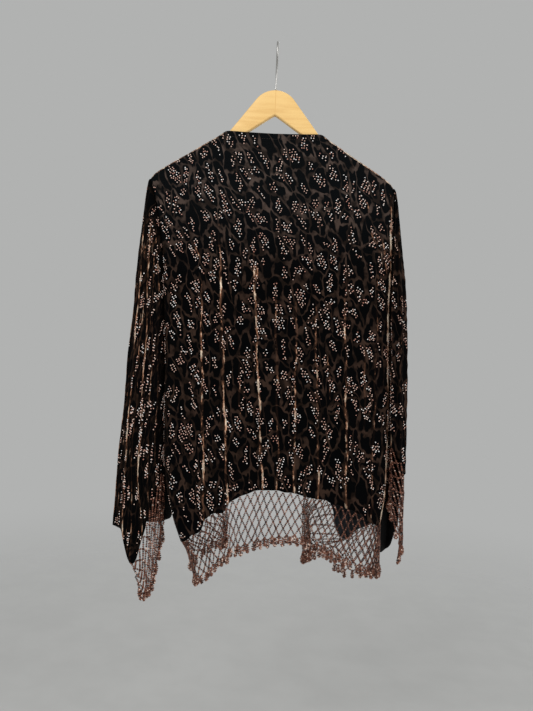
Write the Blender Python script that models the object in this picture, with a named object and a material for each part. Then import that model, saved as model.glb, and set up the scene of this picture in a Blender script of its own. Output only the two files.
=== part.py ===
"""Short velvet jacket with a beaded net fringe, hung on a flat wooden hanger.

Metres, +Z up. The back of the jacket faces -Y and its left sleeve is at -X. The origin is the inner
top of the hook, where it rests on a rod that runs along X. A "drop" is a distance below the origin.
Each cloth piece is a grid of points, worked out from the tables below and thickened to a thin wall.
"""
import bmesh
import bpy
import numpy as np

MM = 0.001
CLOTH = 1.5          # wall of the velvet, mm
NET = 2.0            # wall of the beaded net, mm
SEAM = 0.6           # room between the middles of two edges at a seam, about 0.3 once walls lean, mm
NET_ROOM = 0.8       # room between an edge and the net that hangs from it, mm
RIDGE_RADIUS = 8.0   # bend of the cloth over the hanger's arm, mm
RIDGE_STEPS = (0.0, 1.0, 3.0, 8.0)  # rows of points over that bend, mm below the shoulder seam
SEAT = 2.5           # from the shoulder seam down to the top of the wood, mm
SHOULDER_END = 219.0  # half the width over the shoulders, mm
NECK_HALF = 84.0     # half the width of the neck, where the cloth lies behind the wood, mm
NECK_SEAT = 97.0     # from here outwards the cloth lies over the wood, mm
TURN_ACROSS = 0.05   # share of the width in which a panel turns into its side seam
TURN_STEPS = 4
FRONT_STEPS = 13
BODY_ROWS = 12
SLEEVE_ROWS = 11
SLEEVE_COLUMNS = 26
SLEEVE_TOP = 254.3   # drop of the sleeve's top edge, just under the end of the shoulder seam, mm
SLEEVE_INNER = 156.0  # the left sleeve's inner fold hangs at least this far out, mm

WOOD_THICK = 12.0
WOOD_APEX = 85.0     # drop of the wood's top, mm
WOOD_V = 131.0       # drop of the point of the V under the wood, mm
HUMP_RADIUS = 43.0
HUMP_SLOPE = 1.306   # fall of the wood's flank for each mm outwards
WOOD_NECK = 83.0     # where the flank ends and the arm starts, mm from the middle
ARM_END = 194.0      # centre of the arm's round end, mm from the middle
ARM_SLOPES = (0.69, 0.60)  # fall of the arm's underside, near the V and farther out
ARM_BREAK = 60.0
ARM_FALL = 0.95      # fall of the arm's upper edge at its end, where the round end leaves it
V_ROUNDING = 6.0
WOOD_BEVEL = 4.0
HUMP_STATIONS = (0.0, 4.0, 9.0, 15.0, 22.0, 29.0, 36.0, 60.0)  # sections of the wood, mm from the middle
ARM_STATIONS = 11
END_STATIONS = (25.0, 50.0, 72.0, 85.0)  # sections of the round end, degrees

WIRE = 1.9           # radius of the hook's wire, mm
HOOK_INNER = 19.0    # inner radius of the hook, mm
HOOK_TIP = -105.0    # where the wire's curl ends and starts, degrees from the top
HOOK_TURN = 130.0
SHANK_GAP = 0.3

# Drop of the neck edge and shoulder seam (mm) at a distance from the middle.
SHOULDER = [
    dict(out=0, drop=166.0), dict(out=50, drop=165.2), dict(out=80, drop=164.2), dict(out=88, drop=165.4),
    dict(out=105, drop=175.5), dict(out=122, drop=186.0), dict(out=148, drop=203.0),
    dict(out=178, drop=221.5), dict(out=204, drop=238.7), dict(out=214, drop=246.8),
    dict(out=219, drop=253.5),
]

# Body sections (mm): where the side seams hang, how far the back and the fronts stand off the middle
# plane, and how far the armhole's edges do. The armhole closes into the side seam at drop 490.
BODY = [
    dict(drop=150, left=-219, right=219, back=9, front=9, edge=7.5),
    dict(drop=254, left=-219, right=219, back=10, front=10, edge=7.5),
    dict(drop=275, left=-213.5, right=221.5, back=11, front=11, edge=8),
    dict(drop=300, left=-206.5, right=222.5, back=12.5, front=12.5, edge=8),
    dict(drop=345, left=-197.5, right=222.8, back=15.5, front=15, edge=7.6),
    dict(drop=400, left=-190.5, right=223, back=19, front=18, edge=7),
    dict(drop=455, left=-187, right=223, back=22, front=20, edge=5),
    dict(drop=490, left=-185, right=224, back=23, front=22, edge=SEAM / 2),
    dict(drop=575, left=-180, right=226, back=27, front=25, edge=SEAM / 2),
    dict(drop=650, left=-178, right=228, back=30, front=28, edge=SEAM / 2),
    dict(drop=740, left=-175, right=230, back=33, front=30, edge=SEAM / 2),
    dict(drop=787, left=-171, right=230, back=34, front=31, edge=SEAM / 2),
    dict(drop=860, left=-155, right=221, back=36, front=33, edge=SEAM / 2),
    dict(drop=910, left=-137, right=217, back=36, front=34, edge=SEAM / 2),
]

# Drop of the back's hem (mm) at a share of the way across, from the left side seam to the right.
BACK_HEM = [
    dict(across=0.0, drop=907), dict(across=0.04, drop=899), dict(across=0.08, drop=890),
    dict(across=0.138, drop=876), dict(across=0.172, drop=856), dict(across=0.262, drop=842),
    dict(across=0.278, drop=832), dict(across=0.36, drop=814), dict(across=0.436, drop=803.5),
    dict(across=0.538, drop=805), dict(across=0.6215, drop=811.5), dict(across=0.69, drop=815),
    dict(across=0.75, drop=823), dict(across=0.81, drop=827), dict(across=0.874, drop=838),
    dict(across=0.946, drop=854), dict(across=1.0, drop=862)]

# Drop of each front's hem (mm), from its side seam (0) to its front edge (1), and that edge's place.
FRONT_HEM = {
    "left": [dict(across=0.0, drop=897), dict(across=0.35, drop=884), dict(across=0.6, drop=866),
             dict(across=1.0, drop=846)],
    "right": [dict(across=0.0, drop=862), dict(across=0.05, drop=872), dict(across=0.137, drop=880),
              dict(across=0.21, drop=884), dict(across=0.268, drop=889), dict(across=0.33, drop=899),
              dict(across=0.38, drop=905), dict(across=0.454, drop=900), dict(across=0.532, drop=884),
              dict(across=0.58, drop=852), dict(across=0.716, drop=822), dict(across=1.0, drop=812)],
}
FRONT_EDGE = {
    "left": [dict(drop=165, x=-86), dict(drop=300, x=-82), dict(drop=600, x=-68), dict(drop=900, x=-55)],
    "right": [dict(drop=165, x=86), dict(drop=300, x=83), dict(drop=600, x=80), dict(drop=900, x=80)],
}

# Folds that hang in a panel (mm): the crest's two ends, how far it stands out, and how wide it falls
# away on its left and on its right.
BACK_FOLDS = [
    dict(drop=430, x=-120, to_drop=895, to_x=-92, height=11, left=34, right=11),
    dict(drop=340, x=-92, to_drop=840, to_x=-54, height=8, left=28, right=10),
    dict(drop=370, x=-29, to_drop=806, to_x=6, height=9, left=10, right=26),
    dict(drop=440, x=14, to_drop=700, to_x=28, height=4, left=20, right=12),
    dict(drop=440, x=52, to_drop=808, to_x=61, height=8, left=10, right=28),
    dict(drop=450, x=85, to_drop=820, to_x=105, height=7, left=24, right=12),
    dict(drop=430, x=138, to_drop=845, to_x=155, height=9, left=12, right=30),
    dict(drop=330, x=196, to_drop=840, to_x=198, height=6, left=26, right=14),
]
FRONT_FOLDS = {
    "left": [dict(drop=300, x=-160, to_drop=890, to_x=-122, height=8, left=26, right=16),
             dict(drop=360, x=-104, to_drop=880, to_x=-82, height=9, left=16, right=22)],
    "right": [dict(drop=300, x=172, to_drop=880, to_x=182, height=8, left=26, right=16),
              dict(drop=360, x=112, to_drop=870, to_x=126, height=9, left=18, right=26)],
}

# Sleeve sections (mm): how far out the outer fold hangs and half the sleeve's depth.
SLEEVE = {
    "left": [
        dict(drop=254, outer=221.6, depth=8), dict(drop=266, outer=224.3, depth=9),
        dict(drop=275, outer=226.0, depth=10), dict(drop=294, outer=228, depth=12),
        dict(drop=384, outer=234.5, depth=15), dict(drop=475, outer=238.5, depth=17),
        dict(drop=565, outer=245, depth=20), dict(drop=655, outer=249, depth=22),
        dict(drop=745, outer=255, depth=24), dict(drop=836, outer=259.5, depth=26),
        dict(drop=881, outer=262, depth=26), dict(drop=960, outer=264, depth=24),
    ],
    "right": [
        dict(drop=254, outer=221.6, depth=8), dict(drop=266, outer=224.6, depth=9),
        dict(drop=275, outer=226.6, depth=10), dict(drop=294, outer=229.6, depth=13),
        dict(drop=365, outer=237, depth=20), dict(drop=454, outer=246, depth=27),
        dict(drop=544, outer=252, depth=32), dict(drop=634, outer=254.5, depth=35),
        dict(drop=724, outer=256, depth=37), dict(drop=814, outer=257, depth=38),
        dict(drop=886, outer=259, depth=38), dict(drop=960, outer=261, depth=36),
    ],
}

# More room between body and sleeve (mm) where the armhole curves in, and below, where the two part.
SLEEVE_ROOM = [
    dict(drop=254, room=0.5), dict(drop=310, room=0.8), dict(drop=420, room=0.0), dict(drop=740, room=0.0),
    dict(drop=820, room=2.5), dict(drop=910, room=4.0),
]

# Drop of each sleeve's lower edge (mm), round from the back of its inner seam (0) over the outer fold
# (0.5) to the front of its inner seam (1).
CUFF = {
    "left": [
        dict(round=0.0, drop=840), dict(round=0.03, drop=797), dict(round=0.06, drop=778),
        dict(round=0.1, drop=793), dict(round=0.16, drop=822), dict(round=0.22, drop=868),
        dict(round=0.25, drop=908), dict(round=0.275, drop=943), dict(round=0.29, drop=948),
        dict(round=0.31, drop=941), dict(round=0.335, drop=915), dict(round=0.35, drop=893),
        dict(round=0.37, drop=886), dict(round=0.42, drop=884), dict(round=0.5, drop=881),
        dict(round=0.62, drop=884), dict(round=0.75, drop=886), dict(round=0.88, drop=876),
        dict(round=1.0, drop=852),
    ],
    "right": [
        dict(round=0.0, drop=745), dict(round=0.08, drop=715), dict(round=0.2, drop=730),
        dict(round=0.35, drop=760), dict(round=0.45, drop=785), dict(round=0.5, drop=802),
        dict(round=0.58, drop=850), dict(round=0.68, drop=912), dict(round=0.8, drop=926),
        dict(round=0.92, drop=922), dict(round=1.0, drop=905),
    ],
}

# Long folds round each sleeve: where, how far each stands out below the armhole (mm), and how wide.
SLEEVE_FOLDS = {
    "left": [dict(round=0.14, height=6, width=0.035), dict(round=0.25, height=7, width=0.035),
             dict(round=0.345, height=7, width=0.03), dict(round=0.44, height=4, width=0.03),
             dict(round=0.6, height=6, width=0.04), dict(round=0.74, height=7, width=0.045),
             dict(round=0.86, height=5, width=0.035)],
    "right": [dict(round=0.13, height=6, width=0.04), dict(round=0.25, height=7, width=0.04),
              dict(round=0.37, height=6, width=0.035), dict(round=0.6, height=6, width=0.04),
              dict(round=0.74, height=7, width=0.045), dict(round=0.86, height=5, width=0.035)],
}
SLEEVE_FOLDS_FROM = 280.0   # drop at which the sleeve folds start to grow, mm
SLEEVE_FOLDS_FULL = 470.0   # and at which they are full

# Reach of each net (mm): along its edge, how far it swings along X and how long it hangs.
NET_REACH = {
    "fringe_back": [dict(along=0.0, swing=32, length=74), dict(along=0.118, swing=26, length=82),
                    dict(along=0.175, swing=21, length=82), dict(along=0.2075, swing=19, length=98),
                    dict(along=0.295, swing=11, length=91), dict(along=0.38, swing=-2, length=108),
                    dict(along=0.445, swing=-4, length=105), dict(along=0.53, swing=-5, length=97),
                    dict(along=0.605, swing=-4, length=89.5), dict(along=0.659, swing=-3, length=96),
                    dict(along=0.71, swing=-2, length=99), dict(along=0.765, swing=-1, length=105),
                    dict(along=0.837, swing=0, length=104), dict(along=0.908, swing=1, length=96),
                    dict(along=1.0, swing=2, length=94)],
    "fringe_front_left": [dict(along=0.0, swing=26, length=72), dict(along=0.5, swing=14, length=68),
                          dict(along=1.0, swing=2, length=84)],
    "fringe_front_right": [dict(along=0.0, swing=-2, length=100), dict(along=0.157, swing=-2, length=98),
                           dict(along=0.295, swing=-1, length=95), dict(along=0.41, swing=0, length=81),
                           dict(along=0.515, swing=0, length=68), dict(along=0.62, swing=0, length=90),
                           dict(along=0.705, swing=0, length=114), dict(along=0.785, swing=1, length=122),
                           dict(along=0.89, swing=3, length=134), dict(along=1.0, swing=5, length=138)],
    "fringe_cuff_left": [dict(along=0.0, swing=4, length=122), dict(along=0.35, swing=8, length=134),
                         dict(along=0.6, swing=14, length=132), dict(along=0.75, swing=17, length=108),
                         dict(along=0.86, swing=20, length=74), dict(along=1.0, swing=24, length=62)],
    "fringe_cuff_right": [dict(along=0.0, swing=2, length=112), dict(along=0.5, swing=4, length=150),
                          dict(along=1.0, swing=1, length=140)],
}
NET_ROWS = (0.0, 0.4, 1.0)
NET_SWING = 0.65     # under 1, so that the net swings most just below its edge
CUFF_NET = {"left": (0.045, 0.29), "right": (0.04, 0.5)}   # the stretch of each cuff that carries net

VELVET = ((0.013, 0.010, 0.009), 0.9, 0.0)
BEADS = ((0.19, 0.085, 0.055), 0.3, 0.5)
WOOD = ((0.72, 0.43, 0.17), 0.4, 0.0)
STEEL = ((0.5, 0.49, 0.47), 0.3, 1.0)


def clear_scene():
    for obj in list(bpy.data.objects):
        bpy.data.objects.remove(obj, do_unlink=True)


def read(table, key, name, at):
    """A column of a table at any place, on a smooth curve through its rows that never overshoots them."""
    xs = np.array([row[key] for row in table], float)
    ys = np.array([row[name] for row in table], float)
    steps = np.diff(xs)
    slopes = np.diff(ys) / steps
    both = slopes[:-1] * slopes[1:]
    total = np.where(both > 0, slopes[:-1] + slopes[1:], 1.0)
    tangents = np.concatenate([slopes[:1], np.where(both > 0, 2 * both / total, 0.0), slopes[-1:]])
    at = np.clip(at, xs[0], xs[-1])
    i = np.clip(np.searchsorted(xs, at) - 1, 0, len(steps) - 1)
    h = steps[i]
    t = (at - xs[i]) / h
    start = ys[i] * (1 + 2 * t) * (1 - t) ** 2 + ys[i + 1] * t * t * (3 - 2 * t)
    return start + h * (tangents[i] * t * (1 - t) ** 2 - tangents[i + 1] * t * t * (1 - t))


def ease(value, start, end):
    """0 before start, 1 after end and a soft step between."""
    t = np.clip((value - start) / (end - start), 0.0, 1.0)
    return t * t * (3 - 2 * t)


def shoulder_drop(x):
    return read(SHOULDER, "out", "drop", np.abs(x))


def over_ridge(below):
    """Share of the full depth at a distance below the shoulder seam: a quarter circle over the arm."""
    t = np.clip(below / RIDGE_RADIUS, 0.0, 1.0)
    return np.sqrt(1 - (1 - t) ** 2)


def rows_below(top, hem, rows):
    """Drops of the rows of a panel, close together over the hanger and even from there to the hem."""
    ridge = top + np.array(RIDGE_STEPS)[:, None]
    share = np.linspace(0.0, 1.0, rows + 1)[1:, None]
    return np.concatenate([ridge, ridge[-1] + share * (hem - ridge[-1])])


def side_turn():
    """Columns of the quarter ellipse that turns a panel into its side seam: across, share of the depth."""
    angle = np.linspace(0.0, np.pi / 2, TURN_STEPS + 1)
    return TURN_ACROSS * (1 - np.cos(angle)), np.sin(angle)


def fold_height(folds, x, drop):
    """How far the folds stand out: each is a bell across its crest, growing in from its upper end."""
    total = np.zeros_like(x)
    for fold in folds:
        along = (drop - fold["drop"]) / (fold["to_drop"] - fold["drop"])
        crest = fold["x"] + np.clip(along, 0.0, 1.2) * (fold["to_x"] - fold["x"])
        away = x - crest
        width = np.where(away < 0, fold["left"], fold["right"])
        total += fold["height"] * ease(along, 0.0, 0.45) * np.exp(-(away / width) ** 2)
    return total


def panel(across, share, side, far, top_x, hem, depth_name, folds, neck):
    """Points of a body panel in mm. side and far are functions of the drop that give its two edges."""
    top = shoulder_drop(top_x)
    drop = rows_below(top, read(hem, "across", "drop", across), BODY_ROWS)
    x = side(drop) + (far(drop) - side(drop)) * across
    edge = read(BODY, "drop", "edge", drop)
    depth = edge + (read(BODY, "drop", depth_name, drop) - edge) * share
    depth = depth + fold_height(folds, x, drop) * share
    over = over_ridge(drop - top)
    over = over + (1 - over) * neck
    return x, SEAM / 2 + (depth - SEAM / 2) * over, -drop


def body_side(name):
    return lambda drop: read(BODY, "drop", name, drop)


def back_points():
    turn, turn_share = side_turn()
    marks = np.array([-NECK_SEAT, -NECK_HALF, NECK_HALF, NECK_SEAT])
    marks = np.concatenate([[TURN_ACROSS], 0.5 + marks / (2 * SHOULDER_END), [1 - TURN_ACROSS]])
    steps = (10, 1, 15, 1, 10)
    flat = [np.linspace(a, b, n + 1)[1:] for a, b, n in zip(marks[:-1], marks[1:], steps)]
    across = np.concatenate([turn, *flat, 1 - turn[-2::-1]])
    share = np.concatenate([turn_share, np.ones(sum(steps)), turn_share[-2::-1]])
    top_x = SHOULDER_END * (2 * across - 1)
    neck = 1 - ease(np.abs(top_x), NECK_HALF, NECK_SEAT)
    x, y, z = panel(across, share, body_side("left"), body_side("right"), top_x, BACK_HEM, "back",
                    BACK_FOLDS, neck)
    return np.stack([x, -y, z], axis=-1)


def front_points(name):
    turn, turn_share = side_turn()
    turn = turn * 2
    flat = np.linspace(turn[-1], 1.0, FRONT_STEPS + 1)[1:]
    across = np.concatenate([turn, flat])
    share = np.concatenate([turn_share, np.ones(len(flat))])
    edge = FRONT_EDGE[name]
    seam = SHOULDER_END * (-1 if name == "left" else 1)
    top_x = seam + (edge[0]["x"] - seam) * across
    x, y, z = panel(across, share, body_side(name), lambda drop: read(edge, "drop", "x", drop), top_x,
                    FRONT_HEM[name], "front", FRONT_FOLDS[name], 0.0)
    return np.stack([x, y, z], axis=-1)


def sleeve_points(name, columns):
    """Points of a sleeve: each ring is an ellipse that is slit at its inner side, with folds on it. The
    top edge lies along the armhole's edge, and the ellipses open out of it on a quarter circle."""
    sign = -1 if name == "left" else 1
    table = SLEEVE[name]
    turn = 2 * np.pi * columns
    top = SLEEVE_TOP + RIDGE_RADIUS * (1 - np.sin(np.pi * columns))
    drop = rows_below(top, read(CUFF[name], "round", "drop", columns), SLEEVE_ROWS)
    opened = over_ridge(drop - top)
    inner = np.abs(read(BODY, "drop", name, drop)) + CLOTH + SEAM + read(SLEEVE_ROOM, "drop", "room", drop)
    if name == "left":
        inner = np.maximum(inner, SLEEVE_INNER)
    width = (read(table, "drop", "outer", drop) - inner) * opened
    depth = read(table, "drop", "depth", drop) * opened
    edge = read(BODY, "drop", "edge", drop)
    out = inner + width * (1 - np.cos(turn)) / 2
    y = -depth * np.sin(turn) - edge * np.cos(np.pi * columns)
    normal = np.stack([-depth * np.cos(turn), -width / 2 * np.sin(turn)])
    normal = normal / np.maximum(np.hypot(*normal), 1e-6)
    fold = sum(f["height"] * np.exp(-((columns - f["round"]) / f["width"]) ** 2)
               for f in SLEEVE_FOLDS[name])
    fold = fold * ease(drop, SLEEVE_FOLDS_FROM, SLEEVE_FOLDS_FULL)
    return np.stack([sign * (out + normal[0] * fold), y + normal[1] * fold, -drop], axis=-1)


def net_points(name, edge):
    """Points of a net that hangs from an edge, a row of points in mm."""
    along = np.linspace(0.0, 1.0, len(edge))
    table = NET_REACH[name]
    down = np.array(NET_ROWS)[:, None]
    step = np.diff(edge, axis=0)
    steep = np.abs(step[:, 2]) / np.hypot(step[:, 0], step[:, 1])
    steep = np.maximum(np.append(steep, 0.0), np.append(0.0, steep))
    room = NET_ROOM * np.hypot(1.0, steep)
    x = edge[:, 0] + read(table, "along", "swing", along) * down ** NET_SWING
    z = edge[:, 2] - room - (read(table, "along", "length", along) - room) * down
    return np.stack([x, edge[:, 1] + 0 * down, z], axis=-1)


def material(name, look):
    colour, roughness, metallic = look
    made = bpy.data.materials.new(name)
    made.use_nodes = True
    shader = made.node_tree.nodes["Principled BSDF"]
    shader.inputs["Base Color"].default_value = (*colour, 1.0)
    shader.inputs["Roughness"].default_value = roughness
    shader.inputs["Metallic"].default_value = metallic
    made.diffuse_color = (*colour, 1.0)
    return made


def add(name, data, look):
    obj = bpy.data.objects.new(name, data)
    bpy.context.scene.collection.objects.link(obj)
    data.materials.append(material(name, look))
    return obj


def wall(name, points, thickness, look):
    """A thin wall on a grid of points, half its thickness to each side of them."""
    rows, columns = points.shape[:2]
    index = np.arange(rows * columns).reshape(rows, columns)
    corners = [index[:-1, :-1], index[1:, :-1], index[1:, 1:], index[:-1, 1:]]
    mesh = bpy.data.meshes.new(name)
    mesh.from_pydata((points.reshape(-1, 3) * MM).tolist(), [],
                     np.stack(corners, axis=-1).reshape(-1, 4).tolist())
    obj = add(name, mesh, look)
    thick = obj.modifiers.new("wall", "SOLIDIFY")
    thick.thickness = thickness * MM
    thick.offset = 0.0
    thick.use_quality_normals = True
    return obj


def wood_upper(x):
    """Drop of the wood's upper edge: a round hump, straight flanks, then arms under the shoulders."""
    tangent = HUMP_RADIUS * HUMP_SLOPE / np.hypot(1.0, HUMP_SLOPE)
    hump = WOOD_APEX + HUMP_RADIUS - np.sqrt(HUMP_RADIUS ** 2 - np.minimum(x, tangent) ** 2)
    flank = hump + HUMP_SLOPE * (np.clip(x, tangent, WOOD_NECK) - tangent)
    return np.where(x > WOOD_NECK, np.maximum(flank, shoulder_drop(x) + SEAT), flank)


def wood_lower(x):
    near = np.minimum(x, ARM_BREAK)
    rounded = np.hypot(near, V_ROUNDING) - V_ROUNDING
    return WOOD_V + ARM_SLOPES[0] * rounded + ARM_SLOPES[1] * np.maximum(x - ARM_BREAK, 0.0)


def hanger_wood():
    """A loft along X: each section is a tall rectangle with its four corners cut off."""
    out = np.concatenate([HUMP_STATIONS, np.linspace(WOOD_NECK, ARM_END, ARM_STATIONS)])
    top, low = wood_upper(out), wood_lower(out)
    turn = np.radians(END_STATIONS)
    radius = (low[-1] - top[-1]) / 2
    end_out = radius * np.sin(turn)
    end_top = top[-1] + radius * (1 - np.cos(turn)) + ARM_FALL * end_out * np.cos(turn)
    end_low = low[-1] - radius * (1 - np.cos(turn))
    out = np.concatenate([out, ARM_END + end_out])
    top = np.concatenate([top, end_top])
    low = np.concatenate([low, end_low])
    x = np.concatenate([-out[:0:-1], out])
    top = np.concatenate([top[:0:-1], top])
    low = np.concatenate([low[:0:-1], low])
    cut = np.minimum(WOOD_BEVEL, (low - top) * 0.3)
    half = WOOD_THICK / 2 + 0 * cut
    y = np.stack([cut - half, half - cut, half, half, half - cut, cut - half, -half, -half], axis=1)
    drop = np.stack([top, top, top + cut, low - cut, low, low, low - cut, top + cut], axis=1)
    rings = np.stack([x[:, None] + 0 * y, y, -drop], axis=-1)
    count, sides = y.shape
    index = np.arange(count * sides).reshape(count, sides)
    following = np.roll(index, -1, axis=1)
    faces = np.stack([index[:-1], following[:-1], following[1:], index[1:]], axis=-1).reshape(-1, 4).tolist()
    faces += [index[0, ::-1].tolist(), index[-1].tolist()]
    mesh = bpy.data.meshes.new("hanger_wood")
    mesh.from_pydata((rings.reshape(-1, 3) * MM).tolist(), [], faces)
    shape = bmesh.new()
    shape.from_mesh(mesh)
    bmesh.ops.recalc_face_normals(shape, faces=shape.faces)
    shape.to_mesh(mesh)
    shape.free()
    add("hanger_wood", mesh, WOOD)


def hanger_hook():
    """A wire: the curl, then a gentle turn back to the middle, then the shank down to the wood."""
    radius = HOOK_INNER + WIRE
    curl = np.radians(np.linspace(HOOK_TIP, HOOK_TURN, 22))
    curl_y, curl_drop = -radius * np.sin(curl), HOOK_INNER - radius * np.cos(curl)
    lean = np.pi - curl[-1]
    back = np.linspace(lean, 0.0, 8)[1:]
    back_radius = -curl_y[-1] / (1 - np.cos(lean))
    back_y = -back_radius * (1 - np.cos(back))
    back_drop = curl_drop[-1] + back_radius * (np.sin(lean) - np.sin(back))
    y = np.concatenate([curl_y, back_y, [0.0]])
    drop = np.concatenate([curl_drop, back_drop, [WOOD_APEX - SHANK_GAP]])
    curve = bpy.data.curves.new("hanger_hook", "CURVE")
    curve.dimensions = "3D"
    spline = curve.splines.new("POLY")
    spline.points.add(len(y) - 1)
    for point, py, pd in zip(spline.points, y, drop):
        point.co = (0.0, py * MM, -pd * MM, 1.0)
    curve.bevel_depth = WIRE * MM
    curve.bevel_resolution = 2
    curve.use_fill_caps = True
    add("hanger_hook", curve, STEEL)


def main():
    clear_scene()
    hanger_wood()
    hanger_hook()
    back = back_points()
    wall("back_panel", back, CLOTH, VELVET)
    wall("fringe_back", net_points("fringe_back", back[-1]), NET, BEADS)
    columns = np.linspace(0.0, 1.0, SLEEVE_COLUMNS + 1)
    for name in ("left", "right"):
        front = front_points(name)
        wall(f"front_panel_{name}", front, CLOTH, VELVET)
        wall(f"fringe_front_{name}", net_points(f"fringe_front_{name}", front[-1]), NET, BEADS)
        sleeve = sleeve_points(name, columns)
        wall(f"sleeve_{name}", sleeve, CLOTH, VELVET)
        start, end = CUFF_NET[name]
        carried = (columns > start - 0.02) & (columns < end + 0.02)
        cuff = sleeve[-1][carried]
        wall(f"fringe_cuff_{name}", net_points(f"fringe_cuff_{name}", cuff), NET, BEADS)


main()
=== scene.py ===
"""Looks of a short velvet jacket with a beaded net fringe, hung on a flat wooden hanger.

Metres, +Z up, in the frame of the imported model. The back of the jacket faces -Y and its left sleeve is
at -X. Tables and named lengths are in millimetres unless they say otherwise, and a "drop" is a distance
below the origin, which is the inner top of the hook. Each cloth piece is a fine grid of points on the form
of its solid.
"""

import bpy
import numpy as np
from bpy.props import FloatProperty, FloatVectorProperty, PointerProperty
from mathutils import Matrix, Vector


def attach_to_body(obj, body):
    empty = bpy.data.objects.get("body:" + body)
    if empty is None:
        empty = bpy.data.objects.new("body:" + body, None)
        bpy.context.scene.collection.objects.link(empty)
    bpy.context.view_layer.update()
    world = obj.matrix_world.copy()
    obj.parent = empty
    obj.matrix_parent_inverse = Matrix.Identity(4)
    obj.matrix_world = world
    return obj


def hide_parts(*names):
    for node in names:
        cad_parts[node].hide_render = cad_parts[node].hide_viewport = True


bl_info = {
    "name": "Velvet jacket with a beaded fringe",
    "version": (1, 0, 0),
    "blender": (4, 5, 0),
    "location": "View3D > Sidebar > Jacket",
    "description": "Builds a short velvet jacket on its hanger, piece by piece, on a fixed frame",
    "category": "Add Mesh",
}

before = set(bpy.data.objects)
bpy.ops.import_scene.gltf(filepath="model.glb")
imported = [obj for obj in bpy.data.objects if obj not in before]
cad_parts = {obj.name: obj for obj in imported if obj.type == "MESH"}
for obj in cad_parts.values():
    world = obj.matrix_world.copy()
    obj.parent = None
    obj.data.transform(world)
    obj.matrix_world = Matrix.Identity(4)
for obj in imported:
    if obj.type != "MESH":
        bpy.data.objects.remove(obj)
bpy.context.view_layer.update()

MM = 0.001
SIDES = ("left", "right")
SEAM = 0.6  # room between the middles of two edges at a seam
CLOTH = 1.5  # wall of the solid that the velvet stands for
RIDGE_RADIUS = 8.0  # bend of the cloth over the hanger's arm
RIDGE_STEPS = (0.0, 0.35, 1.0, 1.9, 3.0, 4.4, 6.1, 8.0)
RIDGE_WORN_AND_SHEEN = 6.6  # cloth from the shoulder seam to the line of crushed nap, painted with sheen, over the hanger
RIDGE_SHARP = 0.9  # how much finer that line is than those on the body's folds
RIDGE_UNEVEN = 0.15  # how much stronger that line and its painted sheen are on the right, and weaker on the left
SHOULDER_END = 219.0  # half the width over the shoulders
NECK_HALF = 84.0
NECK_SEAT = 97.0
NECK_HEM = 10.0  # from the neck edge down to its stitches
GROOVE_DEPTH = 0.8  # groove that the stitches pull into the cloth
GROOVE_HALF = 1.3
TURN_ACROSS = 0.05  # share of the width in which the back turns into its side seam
FRONT_TURN = 2  # how many times that share it is for a front, which is narrower
TURN_STEPS = 24
BACK_STEPS = (60, 6, 90, 6, 60)
FRONT_STEPS = 91
FRONT_TURN_STEPS = 28
CLOTH_ROWS = 118
HEM_WAVE = 1.3  # how far the hem waves up and down
HEM_WAVE_LONG = 38.0
LOOSE = ((1.1, 46.0), (0.35, 13.0))  # ripples of the loose cloth, height and length
LOOSE_GROWS = (4.0, 160.0)  # from the shoulder seam to where they start and to where they are full
RIPPLE_SINES = 9  # sines that make up a ripple
RIPPLE_FINE = (0.6, 1.6)  # how fine each is, of the ripple's own fineness
RIPPLE_SLANT = 0.3  # and how far it slants at most
EDGE_PART = 0.42  # part of a fold's height that stands as a sharp edge on its bell
EDGE_SHARE = 0.22  # width of that edge beside the bell's
FOLD_GROWS = (0.0, 0.45)  # shares of a fold's length between which it grows in
FOLD_WORN_AND_SHEEN = (-0.04, 0.16)  # and those between which its crushed nap and painted sheen do
FOLD_RUN = 1.2  # share of a fold's length down to which its crest keeps its slant
CREASE_GROWS = (0.0, 0.3)
CREASE_FADES = (0.7, 1.0)
CREST_NEAR = 4.0  # distance over which one crest outdoes another
CREST_ENDS = (5.0, 9.0)  # distances from a crest between which its crushed nap and painted sheen end
CREST_FAR = 20.0  # largest distance from a crest that the cloth carries
CREST_WAVER = 1.1  # how far a crest wanders from its straight line
# How crests wander and how patchy their crushed nap and painted sheen are: a mean, then sines with a size, a
# length and a shift from each fold to the next.
FOLD_WAVER = (0.0, (1.0, 23.0, 2.4), (0.6, 9.5, 4.1))
FOLD_PATCHY = (0.78, (0.22, 37.0, 2.3))
SLEEVE_WAVER = (0.0, (1.0, 27.0, 1.9))
SLEEVE_PATCHY = (0.7, (0.3, 31.0, 1.0))
SEAM_WAVER = (5.2, (1.0, 37.0, 0.0))  # the back's line of crushed nap with painted sheen, in from its right side seam
SEAM_PATCHY = (1.05, (0.3, 13.0, 0.0), (0.15, 5.1, 0.0))
SEAM_WORN_AND_SHEEN = (262.0, 300.0)  # drops between which that line grows in
SEAM_SHARP = 0.85  # how much finer it is than those on the body's folds
SLEEVE_COLUMNS = 130
SLEEVE_TOP = 255.0
SLEEVE_INNER = 149.0
SLEEVE_FOLDED = (280.0, 470.0)  # drops between which a sleeve's folds grow in
SLEEVE_WORN_AND_SHEEN = (300.0, 390.0)  # and those between which their crushed nap and painted sheen do
SLEEVE_SHARP = 1.8  # how much finer a sleeve's lines of crushed nap and painted sheen are
BACK_LEAN = 0.5  # how far the back's pattern leans over at the neck, per length
LEAN_LONG = 100.0  # length of cloth in which that lean dies away

SHADED_PLEATS = 1.6  # flat-cloth metres at which the cloth that hangs in close pleats, with painted shade on its ground, starts
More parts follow.
